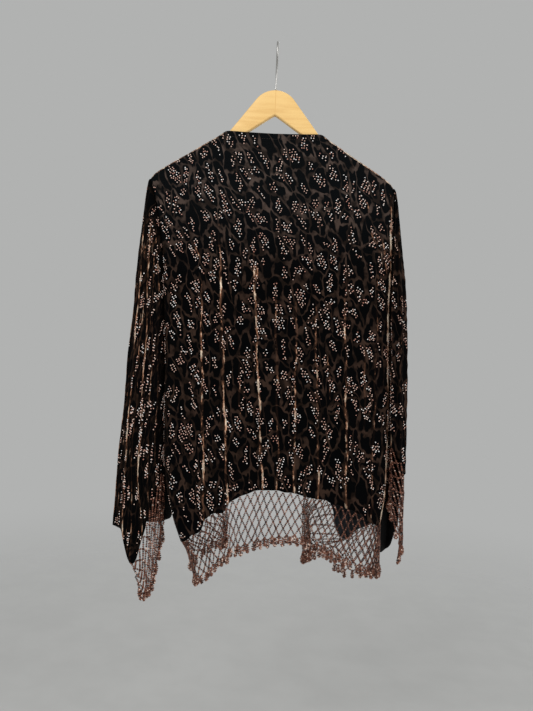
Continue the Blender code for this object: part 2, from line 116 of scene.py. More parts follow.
# Where on the patterned cloth each sheet is cut, flat-cloth metres.
CUT_FROM = {"back": (0.0, 0.0), "front_left": (1.7, 0.3), "front_right": (2.7, 0.3),
            "sleeve_left": (4.3, SHADED_PLEATS), "sleeve_right": (5.3, 0.6)}
SPOT_LEAN = 0.10  # how far the spots lean over, per length
SPOT_BENDS = ((0.9, 0.75), (2.6, 0.26))  # the two noises that bend the spots, scale and amount
SPOT_UNEVEN = 0.9  # how irregularly the spots lie
DOTTED = 0.94  # share of the spots of the body with dots
DOTTED_SLEEVE = 0.7
DOT_MARGINS = (0.006, 0.005, 0.004)  # cloth without dots at the top, the hem and the sides, m
DOT_ROWS = 0.87  # distance of the rows of dots, of the dots' spacing
DOT_SHAKE = (0.22, 0.18)  # how far a dot is moved across, of the spacing, and down, of a row of cloth
DOT_HIGH = 0.34  # height of a dot, of its width
DOT_SINK = 0.0001  # how far a dot sinks into the cloth and a stitch stands off it, m
DOT_EDGE = 0.10  # least distance of a dot from its spot's edge, of a spot's width
DOT_SIZES = (0.85, 1.12)  # least and largest size of a dot, of the usual one
DOT_TONES = (0.9, 0.7)  # shape of the beta distribution of the dots' tones
DOT_ALIKE = 0.15  # part of its tone that a dot has in common with the others of its spot
PATCH_WIDE = (4.4, 2.6)  # half width of a patch of dots, the least and how much more at most
PATCH_LONG = (10.0, 8.0)  # and its half length
PATCH_TURN = 0.9  # how much the patches differ in their turn, radians
PATCH_BEND = 0.035  # and in their bend, per mm
STITCH = (0.0006, 0.0006, 0.0030)  # size of a stitch, m
STITCH_STEP = 2.2  # columns from stitch to stitch
STITCH_SIZES = (0.9, 1.1)  # least and largest size of a stitch, of the usual one
STITCH_SLANT = 0.06  # how far a stitch slants at most

NET_ROOM = 0.8  # room between an edge and the net that hangs from it
NET_SWING = 0.65  # power of the way down by which a net swings aside
LAST_ROW = 0.6  # how much shorter the lowest half row of a net is
NET_WANDER = 0.8  # how far a knot is moved from its place
NET_WAVE = 0.9  # how far the net waves to and fro
NET_TURNS = (0.7, 0.5)  # turn of that wave from knot to knot, along and down, radians
NET_FAR = 1000.0  # more than any net's width
GATHER_ENDS = 2.2  # distance from a free edge at which its gathering ends, of the gathered width
GATHER_GROWS = (0.0, 0.3)  # shares of the way down between which it grows in
LOOP_BEADS = 11
LOOP_TURN = 0.9  # how far a loop is turned to either side, radians
LOOP_WIDE = (0.22, 0.30)  # least and largest half width of a loop, of its length
LOOP_TALL = (0.88, 1.0)  # and its height
LOOP_SHIFT = 0.3  # how far its beads are shifted round it at most, radians
LOOP_BELLY = (0.8, 0.3)  # part of its width halfway down, and how much more below and less above
LOOP_CORE = 4  # beads that fill the middle of a loop
LOOP_CORE_ENDS = (0.7, 1.7)  # drops of the first and last of them, of half the loop's height
LOOP_SHARE = 0.85  # share of the knots above the lowest ones that have a loop too
LOOP_LONG = 1.05  # length of a loop's beads, of a bead's size
LOOP_FAT = 1.1  # and their width
LOOP_LIGHT = 0.7  # power that lightens their tones
BEAD_FATS = (0.9, 1.1)  # least and largest width of a bead, of the usual one
BEAD_LONGS = (0.96, 1.08)  # and its length
BEAD_TONES = (0.9, 1.4)  # shape of the beta distribution of the beads' tones

WOOD_THICK = 12.0
WOOD_APEX = 85.0
WOOD_V = 131.0
WOOD_NECK = 83.0
WOOD_ROUND = 3.4
WOOD_STEPS = (140, 90, 14)  # sections of the hump, of an arm and of its round end
CORNER_STEPS = 7
CORNER_SHARE = 0.3  # largest radius of a corner, of the wood's height
END_TURN = 88.0  # how far the round end of an arm turns, degrees
SEAT = 2.5  # from the shoulder seam down to the top of the wood
HUMP_RADIUS = 43.0
HUMP_SLOPE = 1.306
ARM_END = 194.0
ARM_SLOPES = (0.69, 0.60)
ARM_BREAK = 60.0
ARM_FALL = 0.95
V_ROUNDING = 1.5
WIRE = 1.9
HOOK_INNER = 19.0
HOOK_TIP = -105.0
HOOK_TURN = 130.0
HOOK_STEPS = (64, 20, 8)  # rings of the curl, of the turn back and of the shank
HOOK_TIP_ROUND = (84.0, 62.0, 40.0, 18.0)  # angles of the rings of its round tip
HOOK_TIP_LONG = 0.6
SHANK_GAP = 0.3
WIRE_SIDES = 16

# Starts of the random draws.
SEEDS = {"back": 11, "front": 23, "neck_stitches": 29, "dots_back": 31, "dots_front_left": 37,
         "dots_front_right": 38, "dots_sleeve_left": 43, "dots_sleeve_right": 44, "net_back": 51,
         "net_front_left": 53, "net_front_right": 54, "net_cuff_left": 57, "net_cuff_right": 58}
# Kinds of the sockets of node groups that are not numbers.
SOCKETS = {"Cloth": "NodeSocketVector", "Dark": "NodeSocketColor", "Light": "NodeSocketColor",
           "Glint": "NodeSocketColor", "Colour": "NodeSocketColor"}

# The stage, in metres, watts and degrees: each lamp's place, power and size, then the camera.
FLOOR_HALF = 4.0
FLOOR_LEVEL = -1.5
LAMPS = {"key": ((-1.0, -1.9, 0.8), 25.0, 1.2), "fill": ((1.5, -1.5, -0.3), 12.0, 1.6),
         "back_light": ((0.6, 1.8, 0.6), 12.0, 1.6)}
LAMPS_AIM = Vector((0.0, 0.0, -0.55))
CAMERA_PLACE = (0.003, -1.2, -0.5667)
CAMERA_ROLL = 2.4
CAMERA_LENS = 33.39
CAMERA_SENSOR = 36.0


def table(columns, *rows):
    """A table of numbers: the names of its columns, then its rows."""
    return [dict(zip(columns.split(), row)) for row in rows]


def pair(columns, left, right):
    """Tables with the same columns for the jacket's left and right."""
    return {"left": table(columns, *left), "right": table(columns, *right)}


# Drop of the neck edge and shoulder seam at a distance from the middle.
SHOULDER = table(
    "out drop",
    (0, 166.0), (50, 165.2), (80, 164.2), (88, 165.4), (105, 175.5), (122, 186.0), (148, 203.0),
    (178, 221.5), (204, 238.7), (214, 246.8), (219, 253.5))

# Body sections: the side seams, how far the back and the fronts stand off the middle plane, and how far the
# armhole's edges do.
BODY = table(
    "drop left right back front edge",
    (150, -219, 219, 9, 9, 7.5), (254, -219, 219, 10, 10, 7.5), (275, -213.5, 221.5, 11, 11, 8),
    (300, -206.5, 222.5, 12.5, 12.5, 8), (345, -197.5, 222.8, 15.5, 15, 7.6), (400, -190.5, 223, 19, 18, 7),
    (455, -187, 223, 22, 20, 5), (490, -185, 224, 23, 22, SEAM / 2), (575, -180, 226, 27, 25, SEAM / 2),
    (650, -178, 228, 30, 28, SEAM / 2), (740, -175, 230, 33, 30, SEAM / 2),
    (787, -171, 230, 34, 31, SEAM / 2), (860, -155, 221, 36, 33, SEAM / 2),
    (910, -137, 217, 36, 34, SEAM / 2))

# Drop of the back's hem at a share of the way across, from the left side seam to the right.
BACK_HEM = table(
    "across drop",
    (0.0, 907), (0.04, 899), (0.08, 890), (0.138, 876), (0.172, 856), (0.262, 842), (0.278, 832),
    (0.36, 814), (0.436, 803.5), (0.538, 805), (0.6215, 811.5), (0.69, 815), (0.75, 823), (0.81, 827),
    (0.874, 838), (0.946, 854), (1.0, 862))

# Drop of each front's hem, from its side seam (0) to its front edge (1), and that edge's place.
FRONT_HEM = pair(
    "across drop",
    [(0.0, 897), (0.35, 884), (0.6, 866), (1.0, 846)],
    [(0.0, 862), (0.05, 872), (0.137, 880), (0.21, 884), (0.268, 889), (0.33, 899), (0.38, 905),
     (0.454, 900), (0.532, 884), (0.58, 852), (0.716, 822), (1.0, 812)])
FRONT_EDGE = pair(
    "drop x",
    [(165, -86), (300, -82), (600, -68), (900, -55)],
    [(165, 86), (300, 83), (600, 80), (900, 80)])

# Folds that hang in a panel: the crest's two ends, how far it stands out, how wide it falls away on its left
# and on its right, and how much the nap on its crest is crushed and painted with sheen. Creases are short
# folds that fade at both ends.
FOLD = "drop x to_drop to_x height left right shine"
BACK_FOLDS = table(
    FOLD,
    (430, -120, 895, -92, 11, 34, 11, 0.85), (340, -92, 840, -54, 8, 28, 10, 1.0),
    (370, -29, 806, 6, 9, 10, 26, 1.0), (440, 14, 700, 28, 4, 20, 12, 0.5),
    (440, 52, 808, 61, 8, 10, 28, 0.75), (450, 85, 820, 105, 7, 24, 12, 0.6),
    (430, 138, 845, 155, 9, 12, 30, 0.8), (330, 196, 840, 198, 6, 26, 14, 0.25))
BACK_CREASES = table(
    FOLD,
    (374, -134, 402, -119, 1.6, 6, 4, 0.8), (284, 172, 302, 177, 1.5, 5, 5, 0.7),
    (336, 181, 360, 187, 1.5, 6, 4, 0.7), (345, 203, 420, 214, 1.8, 7, 5, 0.8),
    (402, -22, 440, -17, 1.8, 5, 7, 0.9), (555, 112, 640, 118, 1.6, 6, 8, 0.5),
    (560, -46, 690, -38, 1.4, 8, 6, 0.3), (520, 176, 700, 181, 1.8, 8, 8, 0.35))
FRONT_FOLDS = pair(
    FOLD,
    [(300, -160, 890, -122, 8, 26, 16, 0.7), (360, -104, 880, -82, 9, 16, 22, 0.9)],
    [(300, 172, 880, 182, 8, 26, 16, 0.7), (360, 112, 870, 126, 9, 18, 26, 0.9)])

# Sleeve sections: how far out the outer fold hangs and half the sleeve's depth. Then the sleeve's room
# beside the body.
SLEEVE = pair(
    "drop outer depth",
    [(254, 221.6, 8), (266, 224.3, 9), (275, 226.0, 10), (294, 228, 12), (384, 234.5, 15), (475, 238.5, 17),
     (565, 245, 20), (655, 249, 22), (745, 255, 24), (836, 259.5, 26), (881, 262, 26), (960, 264, 24)],
    [(254, 221.6, 8), (266, 224.6, 9), (275, 226.6, 10), (294, 229.6, 13), (365, 237, 20), (454, 246, 27),
     (544, 252, 32), (634, 254.5, 35), (724, 256, 37), (814, 257, 38), (886, 259, 38), (960, 261, 36)])
SLEEVE_ROOM = table("drop room", (254, -0.6), (310, 0.5), (420, -0.2), (500, -0.65), (910, -0.65))

# Drop of each sleeve's lower edge, round from the back of its inner seam (0) over the outer fold (0.5) to the
# front of its inner seam (1).
CUFF = pair(
    "round drop",
    [(0.0, 840), (0.03, 797), (0.06, 778), (0.1, 793), (0.16, 822), (0.22, 868), (0.25, 908), (0.275, 943),
     (0.29, 948), (0.31, 941), (0.335, 915), (0.35, 893), (0.37, 886), (0.42, 884), (0.5, 881), (0.62, 884),
     (0.75, 886), (0.88, 876), (1.0, 852)],
    [(0.0, 745), (0.08, 715), (0.2, 730), (0.35, 760), (0.45, 785), (0.5, 802), (0.58, 850), (0.68, 912),
     (0.8, 926), (0.92, 922), (1.0, 905)])

# Long folds round each sleeve: where, how far each stands out, how wide and how much its nap is crushed and
# painted with sheen.
SLEEVE_FOLDS = pair(
    "round height width shine",
    [(0.14, 6, 0.035, 0.3), (0.195, 2, 0.02, 0.35), (0.25, 7, 0.035, 0.85), (0.3, 2, 0.02, 0.35),
     (0.345, 7, 0.03, 0.95), (0.395, 2, 0.02, 0.3), (0.44, 4, 0.03, 0.65), (0.495, 1, 0.03, 0.7),
     (0.6, 6, 0.04, 0.5), (0.74, 7, 0.045, 0.7), (0.86, 5, 0.035, 0.4)],
    [(0.13, 6, 0.04, 0.2), (0.25, 7, 0.04, 0.15), (0.37, 6, 0.035, 0.2), (0.485, 1, 0.03, 0.6),
     (0.6, 6, 0.04, 0.5), (0.74, 7, 0.045, 0.7), (0.86, 5, 0.035, 0.4)])

# Reach of each net: along its edge, how far it swings along X and how long it hangs.
REACH = "along swing length"
NET_REACH = {
    "back": table(
        REACH,
        (0.0, 32, 74), (0.118, 26, 82), (0.175, 21, 82), (0.2075, 19, 98), (0.295, 11, 91), (0.38, -2, 108),
        (0.445, -4, 105), (0.53, -5, 97), (0.605, -4, 89.5), (0.659, -3, 96), (0.71, -2, 99),
        (0.765, -1, 105), (0.837, 0, 104), (0.908, 1, 96), (1.0, 2, 94)),
    "front_left": table(REACH, (0.0, 26, 72), (0.5, 14, 68), (1.0, 2, 84)),
    "front_right": table(
        REACH,
        (0.0, -2, 100), (0.157, -2, 98), (0.295, -1, 95), (0.41, 0, 81), (0.515, 0, 68), (0.62, 0, 90),
        (0.705, 0, 114), (0.785, 1, 122), (0.89, 3, 134), (1.0, 5, 138)),
    "cuff_left": table(
        REACH,
        (0.0, 4, 122), (0.35, 8, 134), (0.6, 14, 132), (0.75, 17, 108), (0.86, 20, 74), (1.0, 24, 62)),
    "cuff_right": table(REACH, (0.0, 2, 112), (0.5, 4, 150), (1.0, 1, 140)),
}
# Make of each net: its half rows of diamonds, how much fuller than its edge it is, how much the fall of that
# edge counts in the spacing of its strands, how fat the strands' beads are, of a bead's size, and how light,
# of the loops' beads.
NET_MAKE = dict(zip(NET_REACH, table(
    "half_rows full steep fat light",
    (7, 1.0, 0.4, 1.02, 0.85), (7, 1.2, 0.4, 1.15, 0.95), (8, 1.35, 0.4, 1.08, 0.9), (8, 0.8, 0.7, 1.22, 1.0),
    (11, 0.5, 0.5, 1.1, 0.95))))
# Width of net at a free edge, and the narrower bunch that it falls to.
NET_GATHER = {"front_left": (30, 11), "front_right": (62, 16)}
CUFF_NET = {"left": (5, 40), "right": (5, 65)}  # columns of each cuff between which the net hangs


def length(name, description, default, low, high):
    """A length property in metres."""
    return FloatProperty(name=name, description=description, default=default, min=low, max=high,
                         unit="LENGTH")


def colour(name, description, default):
    """A colour property of a finish."""
    return FloatVectorProperty(name=name, description=description, default=default, size=3, min=0.0, max=1.0,
                               subtype="COLOR")


class JacketSizes(bpy.types.PropertyGroup):
    """Sizes of the cloth, its pattern and its beads."""

    wall: length("Cloth", "Thickness of the velvet", 0.0013, 0.0005, 0.003)
    spot_width: length("Spot width", "Usual width of a pile spot", 0.0222, 0.01, 0.08)
    spot_length: length("Spot length", "Usual length of a pile spot", 0.039, 0.01, 0.12)
    line_share: FloatProperty(name="Ground", description="How much of a spot's width the ground lines take",
                              default=0.080, min=0.0, max=0.4, subtype="FACTOR")
    dot: length("Dot", "Width of a shiny dot", 0.0024, 0.001, 0.006)
    dot_step: length("Dot spacing", "Distance between two dots of a cluster", 0.0050, 0.002, 0.02)
    bead: length("Bead", "Length of a seed bead", 0.0030, 0.001, 0.006)
    diamond: length("Diamond", "Width of a diamond of the net", 0.0135, 0.004, 0.05)
    loop: length("Loop", "Length of a bead loop under the net", 0.0140, 0.004, 0.05)


class JacketColours(bpy.types.PropertyGroup):
    """Colours of the finishes."""

    pile: colour("Pile", "Black pile of the spots", (0.0012, 0.0013, 0.0016))
    # Painted light: the high pile here and the high ground below are the same pile and ground painted lighter
    # over the shoulders, as light falling from above.
    pile_high: colour("High pile", "The same pile over the shoulders", (0.0034, 0.0041, 0.0047))
    ground: colour("Ground", "Sheer brown ground between the spots", (0.028, 0.0160, 0.0112))
    ground_high: colour("High ground", "The same ground over the shoulders", (0.056, 0.0400, 0.0330))
    # Painted sheen: the next two colours paint the crushed nap on and beside the crests of the folds pale.
    worn: colour("Worn nap", "Ground beside the crests of the folds", (0.25, 0.115, 0.064))
    crest: colour("Crests", "Crushed nap on the crests of the folds", (1.0, 0.82, 0.62))
    sheen: colour("Sheen", "Soft sheen of the pile", (0.75, 0.55, 0.44))
    wrong_side: colour("Wrong side", "Inner face of the body's velvet", (0.026, 0.029, 0.033))
    # Painted shade: the sleeves' inner face is the same wrong side, painted darker as the shade inside the
    # sleeves.
    sleeve_inside: colour("Sleeve inside", "Inner face of the sleeves' velvet", (0.0045, 0.0043, 0.0043))
    thread: colour("Thread", "Thread of the neck's stitches", (0.060, 0.042, 0.033))
    dot_copper: colour("Copper dots", "Darkest dots", (0.50, 0.185, 0.12))
    dot_pale: colour("Pale dots", "Light dots", (1.0, 0.77, 0.64))
    # Painted glints: a random few of the dots are painted near white, as glints.
    dot_glint: colour("Bright dots", "Lightest dots", (1.0, 0.96, 0.93))
    bead_dark: colour("Dark beads", "Darkest beads of the net", (0.028, 0.0090, 0.006))
    bead_copper: colour("Copper beads", "Light beads of the net", (0.40, 0.160, 0.098))
    # Painted glints: a random few of the beads are painted pale, as glints.
    bead_glint: colour("Bright beads", "Lightest beads of the net", (0.80, 0.60, 0.50))
    wood: colour("Wood", "Varnished wood of the hanger", (1.0, 0.66, 0.26))
    grain: colour("Grain", "Late wood in the grain", (0.80, 0.46, 0.15))
    wire: colour("Wire", "Metal of the hook", (0.56, 0.55, 0.53))
    floor: colour("Floor", "Pale floor", (0.55, 0.55, 0.54))
    room: colour("Room", "Pale surroundings", (0.440, 0.445, 0.440))


def read(rows, name, at):
    """A column of a table at places along its first one, on a smooth cubic through its rows that never
    overshoots them."""
    place = next(iter(rows[0]))
    xs = np.array([row[place] for row in rows], float)
    ys = np.array([row[name] for row in rows], float)
    steps = np.diff(xs)
    slopes = np.diff(ys) / steps
    both = slopes[:-1] * slopes[1:]
    total = np.where(both > 0, slopes[:-1] + slopes[1:], 1.0)
    tangents = np.concatenate([slopes[:1], np.where(both > 0, 2 * both / total, 0.0), slopes[-1:]])
    at = np.clip(at, xs[0], xs[-1])
    i = np.clip(np.searchsorted(xs, at) - 1, 0, len(steps) - 1)
    h = steps[i]
    t = (at - xs[i]) / h
    start = ys[i] * (1 + 2 * t) * (1 - t) ** 2 + ys[i + 1] * t * t * (3 - 2 * t)
    return start + h * (tangents[i] * t * (1 - t) ** 2 - tangents[i + 1] * t * t * (1 - t))


def ease(value, start, end):
    """0 before start, 1 after end and a soft step between."""
    t = np.clip((value - start) / (end - start), 0.0, 1.0)
    return t * t * (3 - 2 * t)


def shoulder_drop(x):
    """Drop of the neck edge and the shoulder seam at x."""
    return read(SHOULDER, "drop", np.abs(x))


def over_ridge(below):
    """Share of the full depth at a distance below the shoulder seam: a quarter circle over the arm."""
    t = np.clip(below / RIDGE_RADIUS, 0.0, 1.0)
    return np.sqrt(1 - (1 - t) ** 2)


def rows_below(top, hem):
    """Drops of the rows of a cloth, close together over the hanger and even from there to the hem."""
    ridge = top + np.array(RIDGE_STEPS)[:, None]
    share = np.linspace(0.0, 1.0, CLOTH_ROWS + 1)[1:, None]
    return np.concatenate([ridge, ridge[-1] + share * (hem - ridge[-1])])


def side_turn(steps):
    """Columns of the quarter ellipse that turns a panel into its side seam: across, share of the depth."""
    angle = np.linspace(0.0, np.pi / 2, steps + 1)
    return TURN_ACROSS * (1 - np.cos(angle)), np.sin(angle)


def ripple(u, v, seed, long):
    """A soft uneven field, mostly from -1 to 1: sines of random direction and phase, added up. They run
    mostly down the cloth, about long mm from crest to crest across it."""
    draw = np.random.default_rng(seed)
    across = 2 * np.pi / long * draw.uniform(*RIPPLE_FINE, RIPPLE_SINES)
    down = across * draw.uniform(-RIPPLE_SLANT, RIPPLE_SLANT, RIPPLE_SINES)
    phase = draw.uniform(0.0, 2 * np.pi, RIPPLE_SINES)
    total = sum(np.sin(a * u + d * v + p) for a, d, p in zip(across, down, phase))
    return total / np.sqrt(RIPPLE_SINES)


def waves(drop, number, mean, *sines):
    """A mean plus slow sines down the cloth, each of a size, a length and a shift for each number."""
    return sum((size * np.sin(drop / long + shift * number) for size, long, shift in sines), mean)


def fold_across(away, width):
    """Height of a fold across its crest, from 0 to 1: a bell with a sharp edge, two falling exponentials."""
    edge = np.exp(-np.abs(away) / (EDGE_SHARE * width))
    return (1 - EDGE_PART) * np.exp(-(away / width) ** 2) + EDGE_PART * edge


def folds_at(folds, x, drop, fading=False):
    """Height of folds, and a list of their crests. A fold grows in from its upper end and, where fading, dies
    out below. Its crest runs straight from end to end and wanders by slow sines."""
    height = np.zeros_like(x)
    crests = []
    for number, fold in enumerate(folds):
        along = (drop - fold["drop"]) / (fold["to_drop"] - fold["drop"])
        straight = fold["x"] + np.clip(along, 0.0, FOLD_RUN) * (fold["to_x"] - fold["x"])
        away = x - (straight + CREST_WAVER * waves(drop, number, *FOLD_WAVER))
        if fading:
            grow = wear = ease(along, *CREASE_GROWS) * (1 - ease(along, *CREASE_FADES))
        else:
            grow = ease(along, *FOLD_GROWS)
            wear = ease(along, *FOLD_WORN_AND_SHEEN) * waves(drop, number, *FOLD_PATCHY)
        height += fold["height"] * grow * fold_across(away, np.where(away < 0, fold["left"], fold["right"]))
        crests.append((away, fold["shine"] * wear))
    return height, crests


def strongest(crests):
    """Of several crests, each a distance and a strength of crushed nap and painted sheen, the one that marks
    each point most. That strength ends a little away, so that a change from one crest to the next never
    shows."""
    away, wear = (np.stack(values) for values in zip(*crests))
    pick = np.argmax((wear + 1e-6) * np.exp(-(away / CREST_NEAR) ** 2), axis=0)[None]
    away = np.take_along_axis(away, pick, axis=0)[0]
    wear = np.take_along_axis(wear, pick, axis=0)[0]
    return np.clip(away, -CREST_FAR, CREST_FAR), wear * (1 - ease(np.abs(away), *CREST_ENDS))


def panel(across, share, side, far, top_x, hem, depth_name, folds, creases, neck, seed):
    """Points and crests of a body panel. side and far give its two edges at a drop. It stands off the middle
    plane by its table's depth, its folds and a slight ripple, and bends over the hanger, where its crushed
    nap is painted with sheen."""
    top = shoulder_drop(top_x)
    wave = HEM_WAVE * ripple(top_x, 0.0 * top_x, seed + 2, HEM_WAVE_LONG) * share
    drop = rows_below(top, read(hem, "drop", across) + wave)
    x = side(drop) + (far(drop) - side(drop)) * across
    edge = read(BODY, "edge", drop)
    depth = edge + (read(BODY, depth_name, drop) - edge) * share
    height, crests = folds_at(folds, x, drop)
    small, small_crests = folds_at(creases, x, drop, fading=True)
    below = drop - top
    loose = sum(tall * ripple(x, drop, seed + number, long) for number, (tall, long) in enumerate(LOOSE))
    depth = depth + (height + small + ease(below, *LOOSE_GROWS) * loose) * share
    over = over_ridge(below)
    over = over + (1 - over) * neck
    groove = GROOVE_DEPTH * np.exp(-((below - NECK_HEM) / GROOVE_HALF) ** 2) * neck
    y = SEAM / 2 + (depth - SEAM / 2) * over - groove
    turned = RIDGE_RADIUS * np.arccos(1 - np.clip(below / RIDGE_RADIUS, 0.0, 1.0))
    from_ridge = turned + np.maximum(below - RIDGE_RADIUS, 0.0) - RIDGE_WORN_AND_SHEEN
    ridge = (RIDGE_SHARP * from_ridge, (1 - neck) * (1 + RIDGE_UNEVEN * np.sign(x)))
    return np.stack([x, y, -drop], axis=-1), [*crests, *small_crests, ridge]


def body_side(name):
    """The side seam's x as a function of the drop."""
    return lambda drop: read(BODY, name, drop)


def back_cloth():
    """Points and crest marks of the back, from the left side seam to the right one, which carries a line of
    crushed nap painted with sheen.
    """
    turn, turn_share = side_turn(TURN_STEPS)
    marks = np.array([-NECK_SEAT, -NECK_HALF, NECK_HALF, NECK_SEAT])
    marks = np.concatenate([[TURN_ACROSS], 0.5 + marks / (2 * SHOULDER_END), [1 - TURN_ACROSS]])
    flat = [np.linspace(a, b, n + 1)[1:] for a, b, n in zip(marks[:-1], marks[1:], BACK_STEPS)]
    across = np.concatenate([turn, *flat, 1 - turn[-2::-1]])
    share = np.concatenate([turn_share, np.ones(sum(BACK_STEPS)), turn_share[-2::-1]])
    top_x = SHOULDER_END * (2 * across - 1)
    neck = 1 - ease(np.abs(top_x), NECK_HALF, NECK_SEAT)
    points, crests = panel(across, share, body_side("left"), body_side("right"), top_x, BACK_HEM, "back",
                           BACK_FOLDS, BACK_CREASES, neck, SEEDS["back"])
    drop = -points[..., 2]
    # Painted sheen: the line of crushed nap along the right side seam, painted pale.
    from_seam = points[..., 0] - body_side("right")(drop) + waves(drop, 0, *SEAM_WAVER)
    worn = waves(drop, 0, *SEAM_PATCHY) * ease(drop, *SEAM_WORN_AND_SHEEN)
    return points * (1, -1, 1), strongest([*crests, (SEAM_SHARP * from_seam, worn)])


def front_cloth(name):
    """Points and crest marks of a front, from its side seam to its open edge."""
    turn, turn_share = side_turn(FRONT_TURN_STEPS)
    turn = FRONT_TURN * turn
    across = np.concatenate([turn, np.linspace(turn[-1], 1.0, FRONT_STEPS + 1)[1:]])
    share = np.concatenate([turn_share, np.ones(FRONT_STEPS)])
    edge = FRONT_EDGE[name]
    seam = SHOULDER_END * (-1 if name == "left" else 1)
    top_x = seam + (edge[0]["x"] - seam) * across
    points, crests = panel(across, share, body_side(name), lambda drop: read(edge, "x", drop), top_x,
                           FRONT_HEM[name], "front", FRONT_FOLDS[name], [], np.zeros_like(across),
                           SEEDS["front"])
    return points, strongest(crests)


def sleeve_cloth(name):
    """Points and crest marks of a sleeve: each ring is an ellipse that is slit at its inner side. The top
    edge lies along the armhole's edge, and the ellipses open out of it on a quarter circle. The folds lie
    round the ring and are pushed out along the ellipse's normal."""
    columns = np.linspace(0.0, 1.0, SLEEVE_COLUMNS + 1)
    turn = 2 * np.pi * columns
    top = SLEEVE_TOP + RIDGE_RADIUS * (1 - np.sin(np.pi * columns))
    drop = rows_below(top, read(CUFF[name], "drop", columns))
    opened = over_ridge(drop - top)
    inner = np.abs(read(BODY, name, drop)) + CLOTH + SEAM + read(SLEEVE_ROOM, "room", drop)
    if name == "left":
        inner = np.maximum(inner, SLEEVE_INNER)
    width = (read(SLEEVE[name], "outer", drop) - inner) * opened
    depth = read(SLEEVE[name], "depth", drop) * opened
    out = inner + width * (1 - np.cos(turn)) / 2
    y = -depth * np.sin(turn) - read(BODY, "edge", drop) * np.cos(np.pi * columns)
    normal = np.stack([-depth * np.cos(turn), -width / 2 * np.sin(turn)])
    normal = normal / np.maximum(np.hypot(*normal), 1e-6)
    girth = np.maximum(2 * (width + depth), 1.0)
    height = np.zeros_like(drop)
    crests = []
    for number, fold in enumerate(SLEEVE_FOLDS[name]):
        away = columns - fold["round"] - CREST_WAVER * waves(drop, number, *SLEEVE_WAVER) / girth
        height += fold["height"] * fold_across(away, fold["width"])
        wear = fold["shine"] * waves(drop, number, *SLEEVE_PATCHY) * ease(drop, *SLEEVE_WORN_AND_SHEEN)
        crests.append((SLEEVE_SHARP * away * girth, wear))
    height = height * ease(drop, *SLEEVE_FOLDED)
    x = (out + normal[0] * height) * (-1 if name == "left" else 1)
    return np.stack([x, y + normal[1] * height, -drop], axis=-1), strongest(crests)


def flat_lengths(points, lean=0.0):
    """Flat-cloth coordinates in metres: lengths of cloth across from the middle column, and down from the
    top edge. The pattern leans by shifting across, most at the neck, as a falling exponential."""
    across = np.linalg.norm(np.diff(points, axis=1), axis=-1)
    across = np.concatenate([np.zeros((len(points), 1)), np.cumsum(across, axis=1)], axis=1)
    across = across - across[:, [points.shape[1] // 2]]
    down = np.linalg.norm(np.diff(points, axis=0), axis=-1)
    down = np.concatenate([np.zeros((1, points.shape[1])), np.cumsum(down, axis=0)]) - points[:1, :, 2]
    shift = lean * (1 - np.exp(-(down - down.min()) / LEAN_LONG)) * LEAN_LONG
    return np.stack([across - shift, down], axis=-1) * MM


def unit(vectors):
    """Vectors made one long."""
    return vectors / np.maximum(np.linalg.norm(vectors, axis=-1, keepdims=True), 1e-12)


def outward(points, flip=False):
    """Unit normals of a grid of points: the cross product of its two directions."""
    normal = unit(np.cross(np.gradient(points, axis=0), np.gradient(points, axis=1)))
    return -normal if flip else normal


def between(grid, row, column):
    """Values of a grid at fractional rows and columns: a weighted mean of the four nearest points."""
    r = np.clip(row.astype(int), 0, grid.shape[0] - 2)
    c = np.clip(column.astype(int), 0, grid.shape[1] - 2)
    a = (row - r)[:, None]
    b = (column - c)[:, None]
    upper = grid[r, c] * (1 - b) + grid[r, c + 1] * b
    lower = grid[r + 1, c] * (1 - b) + grid[r + 1, c + 1] * b
    return upper * (1 - a) + lower * a


def new_piece(name, points, faces, *finishes):
    """A smooth mesh object of points in metres and faces."""
    mesh = bpy.data.meshes.new(name)
    mesh.from_pydata(points.tolist(), [], faces.tolist())
    mesh.polygons.foreach_set("use_smooth", np.ones(len(mesh.polygons), bool))
    for finish in finishes:
        mesh.materials.append(finish)
    obj = bpy.data.objects.new(name, mesh)
    bpy.context.scene.collection.objects.link(obj)
    return obj


def settle(obj, slot, *nodes):
    """Rides the piece on the one body and hides the solids that it stands for. The slot is not used."""
    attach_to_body(obj, "root")
    if nodes:
        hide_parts(*nodes)
    return obj


def attach(mesh, name, values):
    """A number on each point of a mesh, for its material."""
    layer = mesh.attributes.new(name, "FLOAT", "POINT")
    layer.data.foreach_set("value", np.ascontiguousarray(values, np.float32).ravel())


def cloth_piece(name, cloth, flat, flip, inside):
    """A sheet on a grid of points, made a thin wall whose inner face takes the wrong side's finish. Each
    point carries its distance from the nearest crest and how strong that crest's crushed nap and painted
    sheen are."""
    points, (away, wear) = cloth
    index = np.arange(away.size).reshape(away.shape)
    corners = [index[:-1, :-1], index[1:, :-1], index[1:, 1:], index[:-1, 1:]]
    faces = np.stack(corners[::-1] if flip else corners, axis=-1).reshape(-1, 4)
    right_side = material("velvet_right_side", velvet, Sheen_Weight=0.02, Sheen_Roughness=0.4,
                          Sheen_Tint=tint("sheen"), Specular_IOR_Level=0.03)
    obj = new_piece(name, points.reshape(-1, 3) * MM, faces, right_side, inside)
    layer = obj.data.uv_layers.new(name="cloth")
    layer.data.foreach_set("uv", flat.reshape(-1, 2)[faces.reshape(-1)].astype(np.float32).ravel())
    attach(obj.data, "away", away)
    attach(obj.data, "wear", wear)
    thick = obj.modifiers.new("wall", "SOLIDIFY")
    thick.thickness = bpy.context.scene.jacket_sizes.wall
    thick.offset = 0.0
    thick.use_quality_normals = True
    thick.material_offset = 1
    return obj


